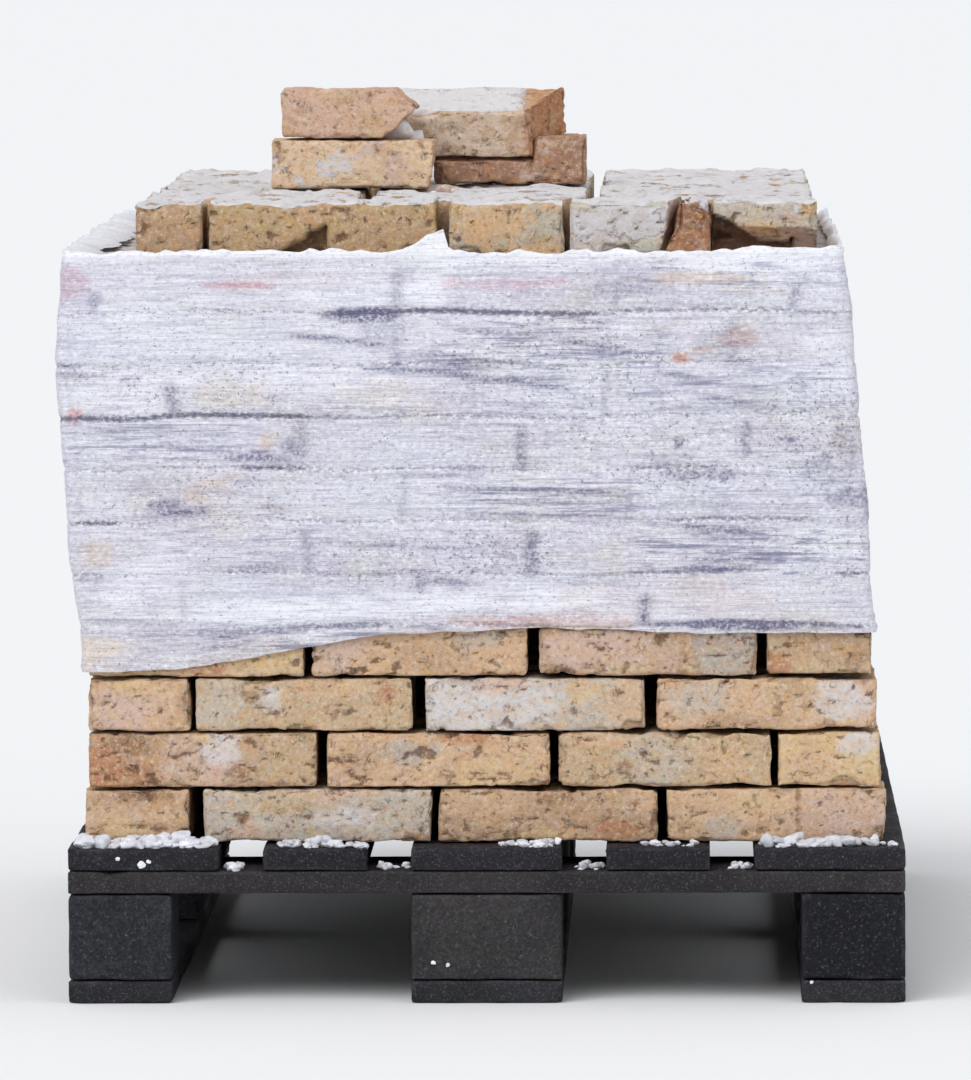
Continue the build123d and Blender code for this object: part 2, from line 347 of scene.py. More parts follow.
def shape_brick(box, seed, steps, fine, rough=1.0, chips=3, chip_size=1.0, break_rough=2.5):
    """A brick with rounded worn edges, a pitted and creased skin, chips and broken ends.

    It has its points, its faces, how much painted shade each point gets in pits, creases and chip
    scars, how broken each point is, the place of each in the noise and the way out at each.
    """
    half = box["half"]
    points, faces = box_grid([cuts(2 * half[axis], steps[axis], fine[axis]) for axis in range(3)])
    place = points + np.array([seed * 371.0 % 5000, seed * 97.0 % 3000, seed * 53.0 % 7000])
    radius = 4.6 + 2.6 * noise(place, 30, 3) + 1.8 * noise(place, 9, 5)
    shaped, out = worn(points, half, np.clip(radius, 1.8, 10.0))
    depth, pit_shade = skin(place, out)
    shaped = shaped - out * (depth * rough)[:, None]
    wall = 1 + 0.16 * noise(place, 6, 41)
    dice = np.random.default_rng(seed)
    for _ in range(chips):
        axis = dice.integers(0, 3)
        corner = half * dice.choice([-1.0, 1.0], 3)
        corner[axis] *= dice.uniform(-1, 1)
        size = dice.uniform(9, 26) * chip_size
        away = corner / half
        away[axis] = dice.uniform(-0.4, 0.4)
        away = away / np.linalg.norm(away)
        centre = corner + away * size * dice.uniform(0.48, 0.72)
        hit = dent(shaped, centre, size * wall)
        # A chip scar gets some painted shade
        pit_shade = np.where(hit, np.maximum(pit_shade, 0.3), pit_shade)
    world = shaped @ box["turn"].T + box["middle"]
    broken = np.zeros(len(points))
    for normal, level in box["flats"]:
        bumpy = break_rough * (1 + 1.2 * rough_noise(place, 16, 47) + 0.5 * noise(place, 5, 53))
        broken = np.where(cut_off(world, normal, level - bumpy), 1.0, broken)
    return SimpleNamespace(
        world=world, faces=faces, pit_shade=pit_shade, broken=broken, place=place, out=out @ box["turn"].T)


def add_brick(heap, brick, tone, second, share, lime, white=0.0):
    """Add a shaped brick: its two colours, the second's share, its lime and how white that is."""
    nothing = np.zeros(len(brick.world))
    heap.add(
        brick.world, brick.faces, tone=tone, second=second,
        mask=np.stack([brick.pit_shade, lime, brick.broken], axis=1),
        mix=np.stack([share, white + nothing, nothing], axis=1))


def along_and_up(box, world):
    """Where points lie along a brick's length and up its height, from 0 to 1."""
    part = (world - box["middle"]) / (2 * box["half"]) + 0.5
    return part[:, 0], part[:, 2]


TONES = (APRICOT, YELLOW, OCHRE, STONE, PINK, TAN, APRICOT, OCHRE, STONE)


def seeded_looks(seed, place):
    """Two colours out of the usual range, and where the second one shows."""
    dice = np.random.default_rng(seed + 9000)
    picks = dice.choice(len(TONES), 2)
    first, second = (linear(TONES[pick]) * dice.uniform(0.86, 1.08) for pick in picks)
    return first, second, ramp(rough_noise(place, (48, 48, 30), 61), -0.1, 0.5)


# Front bricks of the bare courses, from left to right: the main colour, then patches as
# middle along the brick and up it, reach along and up, all from 0 to 1, and a colour. Patches
# in the pit colour are painted shade in small holes and cracks.
FRONT_LOOKS = {
    1: (
        (APRICOT, (0.5, 0.8, 0.45, 0.25, TAN), (0.4, 0.3, 0.25, 0.2, YELLOW),
         (0.55, 0.85, 0.3, 0.12, BROWN)),
        (STONE, (0.55, 0.9, 0.16, 0.18, PINK), (0.2, 0.25, 0.07, 0.2, PINK),
         (0.17, 0.5, 0.03, 0.14, PIT_SHADE), (0.92, 0.1, 0.1, 0.12, BROWN), (0.6, 0.45, 0.12, 0.22, LIME),
         (0.35, 0.75, 0.2, 0.2, OCHRE)),
        (TAN, (0.8, 0.25, 0.13, 0.2, RUST), (0.45, 0.12, 0.17, 0.12, YELLOW),
         (0.2, 0.7, 0.2, 0.3, APRICOT), (0.55, 0.8, 0.1, 0.15, BROWN),
         (0.93, 0.8, 0.1, 0.25, APRICOT)),
        (APRICOT, (0.25, 0.25, 0.1, 0.28, STONE), (0.82, 0.5, 0.24, 0.7, PINK),
         (0.6, 0.5, 0.012, 0.6, BROWN), (0.42, 0.75, 0.12, 0.2, YELLOW),
         (0.93, 0.15, 0.06, 0.2, TAN)),
    ),
    2: (
        (TAN, (0.08, 0.3, 0.2, 0.5, RUST), (0.52, 0.55, 0.19, 0.62, PINK),
         (0.58, 0.7, 0.1, 0.3, LIME), (0.49, 0.92, 0.05, 0.14, YELLOW),
         (0.65, 0.25, 0.055, 0.18, BROWN), (0.86, 0.5, 0.16, 0.7, OCHRE),
         (0.2, 0.75, 0.12, 0.2, BROWN)),
        (APRICOT, (0.35, 0.65, 0.1, 0.25, GREY), (0.49, 0.7, 0.05, 0.16, STONE),
         (0.78, 0.25, 0.2, 0.3, YELLOW), (0.62, 0.9, 0.1, 0.14, RUST), (0.15, 0.5, 0.12, 0.4, TAN)),
        (OCHRE, (0.45, 0.5, 0.17, 0.5, STONE), (0.2, 0.85, 0.18, 0.2, APRICOT),
         (0.78, 0.35, 0.16, 0.4, APRICOT), (0.32, 0.35, 0.04, 0.14, BROWN)),
        (YELLOW, (0.3, 0.35, 0.3, 0.35, APRICOT), (0.8, 0.8, 0.2, 0.25, LIME)),
    ),
    3: (
        (APRICOT, (0.35, 0.4, 0.35, 0.5, PINK), (0.5, 0.85, 0.25, 0.2, YELLOW),
         (0.95, 0.4, 0.1, 0.5, TAN)),
        (OCHRE, (0.36, 0.62, 0.055, 0.3, LIME), (0.14, 0.5, 0.16, 0.5, STONE),
         (0.88, 0.7, 0.05, 0.25, RUST), (0.7, 0.36, 0.06, 0.07, PIT_SHADE),
         (0.25, 0.65, 0.05, 0.12, BROWN), (0.6, 0.8, 0.2, 0.2, APRICOT)),
        (STONE, (0.28, 0.5, 0.36, 0.75, LIME), (0.93, 0.45, 0.12, 0.6, APRICOT),
         (0.72, 0.75, 0.09, 0.2, YELLOW), (0.38, 0.85, 0.2, 0.14, PINK)),
        (APRICOT, (0.2, 0.6, 0.16, 0.4, STONE), (0.82, 0.6, 0.15, 0.4, LIME),
         (0.55, 0.4, 0.02, 0.35, BROWN), (0.6, 0.7, 0.14, 0.3, OCHRE), (0.4, 0.2, 0.2, 0.15, TAN)),
    ),
    4: (
        (OCHRE, (0.8, 0.4, 0.2, 0.5, YELLOW), (0.55, 0.2, 0.1, 0.2, RUST)),
        (APRICOT, (0.12, 0.6, 0.16, 0.5, PINK), (0.55, 0.35, 0.2, 0.3, TAN),
         (0.8, 0.75, 0.14, 0.2, STONE)),
        (TAN, (0.3, 0.55, 0.3, 0.5, PINK), (0.42, 0.16, 0.14, 0.16, OCHRE),
         (0.85, 0.5, 0.16, 0.6, GREY)),
        (OCHRE, (0.12, 0.2, 0.16, 0.3, RUST), (0.6, 0.6, 0.4, 0.4, TAN),
         (0.85, 0.3, 0.12, 0.3, BROWN)),
    ),
}


def front_tone(look, box, brick):
    """Colour of a front brick at each point: its main colour with ragged patches."""
    along, up = along_and_up(box, brick.world)
    place = brick.place
    tone = np.broadcast_to(linear(look[0]), brick.world.shape)
    for number, (middle_u, middle_v, reach_u, reach_v, colour) in enumerate(look[1:]):
        away = np.hypot((along - middle_u) / reach_u, (up - middle_v) / reach_v)
        away += 0.5 * rough_noise(place, 17, 301 + number) + 0.3 * noise(place, 5, 331 + number)
        tone = mixed(tone, linear(colour), 0.8 * (1 - ramp(away, 0.6, 1.15)))
    return tone


def reach_of(box):
    """How far a turned brick reaches from its middle along X and Y."""
    return np.abs(box["turn"][:2, :2]) @ box["half"][:2]


def open_sides(boxes):
    """For each brick of a course, which of its sides along X and Y nothing covers."""
    result = []
    for box in boxes:
        sides = {(axis, way): True for axis in (0, 1) for way in (-1, 1)}
        for other in boxes:
            if other is box:
                continue
            apart = (other["middle"] - box["middle"])[:2]
            reach = reach_of(box) + reach_of(other)
            overlap = reach - np.abs(apart)
            for axis, way in sides:
                if -5 < way * apart[axis] - reach[axis] < 60 and overlap[1 - axis] > 15:
                    sides[axis, way] = False
        result.append(sides)
    return result


def make_course(course, material):
    """All bricks of a full course, in detail where they show; returns their boxes with colours."""
    node = f"course_{course:02d}"
    boxes = [measure(*part) for part in parts_of(node)]
    sides = open_sides(boxes)
    bare = course <= BARE_COURSES
    top_shows = course == COURSES
    heap = Heap()
    front = [place for place, side in enumerate(sides) if side[1, -1]]
    front.sort(key=lambda place: boxes[place]["middle"][0])
    for number, (box, side) in enumerate(zip(boxes, sides)):
        if not any(side.values()) and not top_shows:
            points, faces = box_grid([np.array([-half, half]) for half in box["half"]])
            points = points * 0.985 @ box["turn"].T + box["middle"]
            box["tone"] = linear(OCHRE)
            heap.add(points, faces, tone=box["tone"], second=box["tone"])
            continue
        detailed = bare and number in front
        steps = HIDDEN_STEPS
        if bare or top_shows and any(side.values()):
            steps = FRONT_STEPS if detailed else SIDE_STEPS
        fine = [top_shows or side[axis, -1] or side[axis, 1] for axis in (1, 0)] + [True]
        seed = course * 100 + number
        brick = shape_brick(
            box, seed, steps, fine, rough=1.0 if bare else 0.7, chips=6 if bare else 3)
        tone, second, share = seeded_looks(seed, brick.place)
        lime = ramp(rough_noise(brick.place, 26, 71), 0.5, 0.7)
        if detailed:
            tone = second = front_tone(FRONT_LOOKS[course][front.index(number)], box, brick)
            share, lime = share * 0, lime * 0.35
        lime = np.maximum(lime, ramp(brick.out[:, 2], 0.7, 0.95) * (0.8 if top_shows else 0.3))
        box["tone"] = tone.mean(axis=0) if detailed else tone
        add_brick(heap, brick, tone, second, share, lime)
    heap.build(f"bricks_{course:02d}", material, [node])
    return boxes


# Front row of the part course: colours of its six pieces, and how much lime each has
TOP_LOOKS = (
    ((204, 168, 134), TAN, 0.0), ((206, 172, 132), (204, 176, 128), 0.0),
    ((232, 194, 150), (208, 198, 178), 0.1), ((222, 219, 204), LIME, 0.45),
    ((186, 128, 98), (160, 110, 84), 0.0), (STONE, YELLOW, 0.35),
)
# Holes in that row's faces: the piece, then the hole's upper edge as shares of the piece's
# length and heights above the film's lip, and the depth
HOLES = (
    (1, (0.3, 0.32, 0.51, 0.52), (-9, 0, 25, -9), 24.0),
    (1, (0.85, 0.87, 0.9, 0.91), (-9, 6, 4, -9), 12.0),
    (5, (0.0, 0.15, 0.45, 0.72, 0.76, 0.78), (36, 28, 8, 7, 14, -9), 48.0),
)
NO_HOLE = -50


def open_holes(piece, box, brick, lip):
    """Push the face of a broken piece inwards where it has a hole, and paint shade into the hole.
    """
    world, place = brick.world, brick.place
    along = along_and_up(box, world)[0] + 0.012 * noise(place, 9, 91)
    front = box["middle"][1] - box["half"][1]
    for number, shares, heights, depth in HOLES:
        if number == piece:
            edge = lip + np.interp(along, shares, heights, left=NO_HOLE, right=NO_HOLE)
            edge += 1.5 * noise(place, 8, 93)
            near_face = ramp(world[:, 1], front + 60, front + 8)
            inside = ramp(edge - world[:, 2], 0, 3) * near_face
            world[:, 1] += inside * depth * (0.8 + 0.3 * noise(place, 14, 95))
            # Painted shade inside the hole
            brick.pit_shade = np.maximum(brick.pit_shade, inside)


def slant_ends(piece, box, world):
    """Shift along X that makes the break between the fourth and the fifth piece slanting."""
    along, up = along_and_up(box, world)
    along = np.clip(along, 0, 1)
    if piece == 3:
        return ramp(along, 0.55, 1.0) * (2 + 14 * up)
    if piece == 4:
        return (1 - along) * (15 * up - 3) + along * (7 - 3 * up)
    return 0


def make_top_course(material):
    """The part course: whole bricks with whitish tops behind a broken front row."""
    boxes = [measure(*part) for part in parts_of("top_course")]
    sides = open_sides(boxes)
    lip = node_box("stretch_film")[1][2]
    first_row = min(box["middle"][1] for box in boxes) + 45
    front = [number for number, box in enumerate(boxes) if box["middle"][1] < first_row]
    front.sort(key=lambda number: boxes[number]["middle"][0])
    heap = Heap()
    for number, (box, side) in enumerate(zip(boxes, sides)):
        in_front = number in front
        seed = 1200 + number
        brick = shape_brick(
            box, seed, FRONT_STEPS if in_front else SIDE_STEPS,
            (True, True, in_front or any(side.values())), chips=7, chip_size=1.2)
        place = brick.place
        tone, second, share = seeded_looks(seed, place)
        patch = rough_noise(place, 26, 71)
        lime = ramp(patch, 0.5, 0.7)
        if in_front:
            piece = front.index(number)
            first, other, level = TOP_LOOKS[piece]
            tone, second = linear(first), linear(other)
            lime = ramp(patch, 0.62 - level * 1.35, 0.80 - level * 1.1)
            open_holes(piece, box, brick, lip)
            brick.world[:, 0] += slant_ends(piece, box, brick.world)
        top = ramp(brick.out[:, 2], 0.35, 0.75) * ramp(rough_noise(place, 24, 73), -0.5, -0.18)
        brick.world[:, 2] += 3.4 * top * ramp(noise(place, 12, 97), -0.1, 0.7)
        lime = np.maximum(lime * (1 - brick.pit_shade), top) * (1 - brick.broken * 0.7)
        add_brick(heap, brick, tone, second, share, lime, top)
    heap.build("bricks_top", material, ["top_course"])


def loose_looks(name, brick):
    """Two colours of a loose brick, the second one's share and the lime at each point."""
    x, up = brick.world[:, 0], brick.out[:, 2]
    patch = rough_noise(brick.place, 24, 81)
    share = ramp(patch, 0.0, 0.4)
    if name == "left":
        pale = mixed(linear(LIME), linear((236, 208, 192)), ramp(x, -150, -110))
        return linear((252, 220, 186)), pale, share * 0.7, patch * 0
    if name == "upper":
        return linear((236, 196, 174)), linear(APRICOT), share, ramp(patch, 0.6, 0.8) * 0.4
    if name == "right":
        return linear((184, 142, 120)), linear(PINK), share * 0.6, ramp(patch, 0.55, 0.8) * 0.4
    right = ramp(x, 15, 45)
    # The across brick's faces that don't face up get the paler colour: painted light that offsets
    # their shade
    face = mixed(linear((252, 232, 212)), linear((250, 208, 166)), ramp(up, 0.15, 0.5))
    tone = mixed(face, linear((214, 150, 108)), right)
    lime = ramp(up, 0.6, 0.85) * (1 - right) * ramp(patch, -0.8, -0.4)
    return tone, linear(APRICOT), share * 0.6, lime


def notch(brick, across_box):
    """Cut the sloping seat of the brick above into the top of the right-hand brick."""
    normal = across_box["turn"][:, 2]
    level = across_box["middle"] @ normal - across_box["half"][2] - 1.0
    end, reach = max(across_box["flats"], key=lambda flat: flat[0][0])
    bumpy = 2.5 * (1 + rough_noise(brick.place, 14, 83))
    level = level - bumpy + 80 * ramp(brick.world @ end - reach, 0, 7)
    brick.broken = np.where(cut_off(brick.world, normal, level), 1.0, brick.broken)


def make_loose_bricks(material):
    """The four broken bricks that lie on the part course."""
    boxes = {}
    for name in ("left", "upper", "across", "right"):
        boxes[name] = measure(*parts_of(f"loose_brick_{name}")[0], tilted=name == "across")
    low, high = node_box("loose_brick_right")
    boxes["right"].update(middle=(low + high) / 2, half=(high - low) / 2, turn=np.eye(3), flats=[])
    for number, (name, box) in enumerate(boxes.items()):
        brick = shape_brick(
            box, 1400 + number, LOOSE_STEPS, (True, True, True), chips=8, chip_size=1.2,
            break_rough=3.0)
        if name == "right":
            notch(brick, boxes["across"])
        tone, second, share, lime = loose_looks(name, brick)
        brick.pit_shade, brick.broken = brick.pit_shade * 0.7, brick.broken * 0.7
        heap = Heap()
        add_brick(heap, brick, tone, second, share, lime, lime)
        heap.build(f"broken_brick_{name}", material, [f"loose_brick_{name}"])


# Materials

class Value:
    """An output of a node. What is worked out from it becomes further nodes."""

    def __init__(self, socket):
        self.socket = socket
        self.tree = socket.id_data

    def maths(self, operation, other=0.0):
        return node(self.tree, "ShaderNodeMath", {0: self, 1: other}, operation=operation)

    def __add__(self, other):
        return self.maths("ADD", other)

    def __sub__(self, other):
        return self.maths("SUBTRACT", other)

    def __mul__(self, other):
        return self.maths("MULTIPLY", other)

    def __abs__(self):
        return self.maths("ABSOLUTE")

    def between(self, low, high, bottom=0.0, top=1.0):
        """Map low..high to bottom..top, held at the ends."""
        limits = {"From Min": low, "From Max": high, "To Min": bottom, "To Max": top}
        return node(self.tree, "ShaderNodeMapRange", {"Value": self, **limits})


def put(value, socket):
    """Join a value to a node's input, or set the input to a plain number or colour."""
    if isinstance(value, Value):
        value.tree.links.new(value.socket, socket)
    else:
        socket.default_value = value


def node(tree, kind, inputs, output=0, **options):
    """One of the outputs of a new node with the given inputs and options."""
    made = tree.nodes.new(kind)
    for key, option in options.items():
        setattr(made, key, option)
    for key, value in inputs.items():
        put(value, made.inputs[key])
    return Value(made.outputs[output])


def new_material(name):
    """A new node material and its tree."""
    material = bpy.data.materials.new(name)
    material.use_nodes = True
    return material, material.node_tree


def finish(material, inputs, height, strength, distance):
    """Join the shader's inputs, and bump by a height with its strength and distance."""
    tree = material.node_tree
    relief = {"Height": height, "Strength": strength, "Distance": distance}
    inputs["Normal"] = node(tree, "ShaderNodeBump", relief)
    for key, value in inputs.items():
        put(value, tree.nodes["Principled BSDF"].inputs[key])
    return material


def attribute(tree, name):
    """The colour of a point attribute."""
    return node(tree, "ShaderNodeAttribute", {}, attribute_name=name)


def channels(tree, name):
    """The three channels of a point attribute."""
    split = node(tree, "ShaderNodeSeparateColor", {"Color": attribute(tree, name)})
    return [Value(socket) for socket in split.socket.node.outputs]


def coordinates(tree, stretch=(1, 1, 1), turn=(0, 0, 0)):
    """Object coordinates, turned by degrees round each axis and scaled."""
    source = node(tree, "ShaderNodeTexCoord", {}, "Object")
    turn = [math.radians(angle) for angle in turn]
    return node(tree, "ShaderNodeMapping", {"Vector": source, "Rotation": turn, "Scale": stretch})


def grain(tree, scale, detail, roughness, distortion=0.0, stretch=(1, 1, 1), turn=(0, 0, 0)):
    """Noise of a material."""
    shape = {"Scale": scale, "Detail": detail, "Roughness": roughness, "Distortion": distortion}
    place = coordinates(tree, stretch, turn)
    return node(tree, "ShaderNodeTexNoise", {"Vector": place, **shape})


def cells(tree, scale, warp_scale, warp_detail, warp):
    """Distance to the middles of many bent cells."""
    place = coordinates(tree)
    shape = {"Vector": place, "Scale": warp_scale, "Detail": warp_detail}
    bent = blend(warp, place, node(tree, "ShaderNodeTexNoise", shape, "Color"), "ADD")
    return node(tree, "ShaderNodeTexVoronoi", {"Vector": bent, "Scale": scale})


def rgba(colour):
    return (*[float(value) for value in linear(colour)], 1.0)


def blend(share, first, second, kind="MIX"):
    """Two colours mixed by a share. Each colour is a value or an sRGB colour."""
    tree = next(item.tree for item in (share, first, second) if isinstance(item, Value))
    first, second = (item if isinstance(item, Value) else rgba(item) for item in (first, second))
    inputs = {0: share, 6: first, 7: second}
    return node(tree, "ShaderNodeMix", inputs, 2, data_type="RGBA", blend_type=kind)


def layered(colour, *layers):
    """A colour with others laid over it, each given as its share and its colour."""
    for share, over in layers:
        colour = blend(share, colour, over)
    return colour


def brick_material():
    """Fired clay: mottled, speckled, pitted, with painted shade in its pits, creases, holes and
    cracks, and with lime mortar left on it.
    """
    material, tree = new_material("reclaimed_brick")
    pit_shade, lime, broken = channels(tree, "mask")
    share, white, _ = channels(tree, "mix")
    medium = grain(tree, 95, 5, 0.68)
    cloud = grain(tree, 34, 4, 0.6, stretch=(1, 1, 1.5))
    warm = grain(tree, 62, 5, 0.72, 0.5, (1.1, 1.1, 1.9))
    golden = grain(tree, 74, 5, 0.72, 0.5, (0.9, 1.2, 1.6))
    pinkish = grain(tree, 60, 4, 0.7, stretch=(1.7, 1.7, 1.7))
    speck = grain(tree, 210, 6, 0.82)
    sparse = grain(tree, 45, 2, 0.5, stretch=(1, 1, 1.3))
    twisted = grain(tree, 60, 5, 0.7, 0.8)
    crack = abs(twisted - 0.5).between(0.004, 0.016, 1, 0) * sparse.between(0.57, 0.66)
    hole = cells(tree, 105, 190, 2, 0.012).between(0.08, 0.30, 1, 0)
    hole *= sparse.between(0.40, 0.49, 1, 0)
    sunk_shade = pit_shade + speck.between(0.3, 0.7, -0.45, 0.45)
    limed = lime + grain(tree, 190, 5, 0.75).between(0.3, 0.7, -0.42, 0.42)
    limed = limed.between(0.42, 0.60) * 0.9
    old_lime = blend(medium.between(0.35, 0.65), LIME, (222, 213, 212))
    ragged = share + medium.between(0.3, 0.7, -0.35, 0.35)
    colour = layered(
        attribute(tree, "tone"),
        (ragged.between(0.34, 0.66), attribute(tree, "second")),
        (cloud.between(0.5, 0.7, 0, 0.4), TAN),
        (warm.between(0.50, 0.66, 0, 0.42), (236, 168, 108)),
        (golden.between(0.50, 0.66, 0, 0.38), (240, 204, 134)),
        (medium.between(0.55, 0.72, 0, 0.5), (226, 216, 202)),
        (pinkish.between(0.54, 0.66, 0, 0.4), (232, 194, 174)),
        (speck.between(0.545, 0.66, 0, 0.7), (142, 106, 80)),
        (speck.between(0.36, 0.47, 0.7, 0), (244, 230, 212)),
        # Painted shade in the cracks and small holes, in the pit colour
        (crack * 0.4, PIT_SHADE),
        (hole * 0.65, PIT_SHADE),
        # Painted shade in the pits, creases, chip scars and holes
        (sunk_shade.between(0.45, 1.0, 0, 0.75), (108, 78, 58)),
        (broken * 0.35, RUST),
        (limed, blend(white * 0.85, old_lime, (252, 250, 253))))
    inputs = {"Base Color": colour, "Roughness": 0.92, "Specular IOR Level": 0.2}
    height = speck * 1.6 + limed * 0.4 + medium - (hole + crack)
    return finish(material, inputs, height, 1.0, 0.0022)


def wood_material(name, colour, second, chips=False):
    """Nearly black weathered wood: sawn boards with grain, or pressed chips."""
    material, tree = new_material(name)
    edge, dusty, _ = channels(tree, "mask")
    if chips:
        figure = cells(tree, 210, 120, 3, 0.02)
        fine = grain(tree, 300, 5, 0.8)
    else:
        figure = grain(tree, 22, 6, 0.6, 0.6, (9, 0.6, 9))
        fine = grain(tree, 520, 4, 0.75, stretch=(1, 0.12, 1))
    cloud = grain(tree, 9, 4, 0.6)
    dust = grain(tree, 260, 4, 0.75).between(0.64, 0.72, 0, 0.6)
    painted = layered(
        blend(figure.between(0.3, 0.75), colour, second),
        (cloud.between(0.4, 0.7, 0, 0.6), (26, 26, 30)),
        (fine.between(0.56, 0.70, 0, 0.75), (104, 102, 106)),
        (fine.between(0.30, 0.44, 0.75, 0), (16, 16, 19)),
        (edge * 0.3, (80, 78, 84)),
        (dust * dusty, MORTAR))
    rough = cloud.between(0.3, 0.7, 0.6, 0.9)
    inputs = {"Base Color": painted, "Roughness": rough, "Specular IOR Level": 0.2}
    return finish(material, inputs, figure + fine * 0.8, 0.7, 0.0018)


def mortar_material():
    """Crumbs of whitish lime mortar."""
    material, tree = new_material("old_mortar")
    tone = attribute(tree, "tone")
    shade = grain(tree, 120, 4, 0.65).between(0.35, 0.7)
    shaded = node(tree, "ShaderNodeHueSaturation", {"Color": tone, "Value": 0.72})
    inputs = {"Base Color": blend(shade, tone, shaded), "Roughness": 0.95}
    return finish(material, inputs, grain(tree, 480, 3, 0.7), 0.7, 0.001)


def nail_material():
    """Rusty nail heads."""
    material, tree = new_material("rusty_nails")
    shade = grain(tree, 600, 3, 0.7)
    colour = blend(shade.between(0.35, 0.65), (74, 54, 44), (44, 40, 40))
    rough = shade.between(0.3, 0.7, 0.5, 0.8)
    inputs = {"Base Color": colour, "Metallic": 0.6, "Roughness": rough}
    return finish(material, inputs, shade, 0.5, 0.0004)


def film_material():
    """Milky stretch film in several layers: streaky, with the bricks showing faintly, painted shade
    at the joints and a painted highlight on the lip.
    """
    material, tree = new_material("stretch_film")
    tone = attribute(tree, "tone")
    joint, tint, thin = channels(tree, "mask")
    shown, dark, lip = channels(tree, "mix")
    lined, white, dotted = channels(tree, "second")
    lines = grain(tree, 8, 4, 0.62, 0.25, (1, 1, 26), (0.2, 2.6, 0))
    dashes = grain(tree, 26, 4, 0.66, 0.15, (1, 1, 8), (0.3, 2.2, 0))
    cloud = grain(tree, 7, 5, 0.65, stretch=(1, 1, 2.2))
    other_cloud = grain(tree, 11, 4, 0.65, stretch=(1.3, 1.3, 2.0))
    fine = grain(tree, 210, 4, 0.72, stretch=(1, 1, 1.5))
    grit = grain(tree, 300, 2, 0.6, stretch=(1, 1, 1.2))
    smear = grain(tree, 90, 4, 0.7, stretch=(1, 1, 2))
    tinted = cloud.between(0.42, 0.66, 0.04, 0.26) * tint * fine.between(0.36, 0.60, 0.4, 1.5)
    line = lines.between(0.55, 0.62) * lined.between(0, 1, 0.2, 0.95)
    ragged = joint + fine.between(0.3, 0.7, -0.4, 0.4)
    colour = layered(
        FILM_WHITE,
        (cloud.between(0.40, 0.62), (202, 201, 222)),
        (other_cloud.between(0.46, 0.64, 0, 0.7), (208, 211, 213)),
        (tinted, tone),
        (white * dashes.between(0.62, 0.42, 0.5, 0.95), (238, 239, 247)),
        (fine.between(0.34, 0.50, 0.8, 0), (240, 240, 246)),
        (fine.between(0.55, 0.70, 0, 0.6), (150, 150, 168)),
        (shown * fine.between(0.35, 0.6, 0.35, 0.9), tone),
        (dashes.between(0.54, 0.64) * lined.between(0, 1, 0.22, 0.85), (128, 128, 160)),
        (dashes.between(0.36, 0.46, 1, 0) * lined.between(0, 1, 0.25, 0.8), (240, 240, 247)),
        (line * fine.between(0.30, 0.46, 0.4, 1), FILM_LINE),
        ((grit + dotted * 0.075).between(0.64, 0.72, 0, 0.7), (104, 103, 112)),
        (smear.between(0.52, 0.66) * dotted.between(0, 1, 0.15, 0.6), (150, 150, 164)),
        # Painted shade where the film dips into the joints
        (ragged.between(0.25, 0.95, 0, 0.9), (84, 82, 108)),
        (dark * grit.between(0.40, 0.54, 0.35, 1), (92, 90, 124)),
        # Painted highlight on the lip
        (lip * fine.between(0.68, 0.48, 0.35, 1), (241, 241, 247)))
    alpha = cloud.between(0.35, 0.7, 0.04, 0.18) * thin * -1.0 + 1.0
    inputs = {"Base Color": colour, "Roughness": 0.36, "Specular IOR Level": 0.4, "Alpha": alpha}
    return finish(material, inputs, lines * 1.5 + dashes + fine * 0.35, 0.55, 0.003)


# Stretch film

# Steps along the front and along the other sides, and rows between two joints, in the hem,
# in the lip and in the part that is turned in
FRONT_STEP = 5.2
REST_STEP = 8.4
INNER_ROWS = 10
HEM_ROWS = 9
LIP_ROWS = 5
FOLD_ROWS = 5
CORNER_STEPS = 7
CORNER_RADIUS = 8.0
FILM_OUT = 1.4
LIP_HEIGHT = 9.0
FOLD_WIDTH = 9.0
LEFT_FOLD_WIDTH = 34.0
HEM_DROP = 44.0
# The depth behind the front up to which the marks of the front reach round the corners
FRONT_REACH = 40

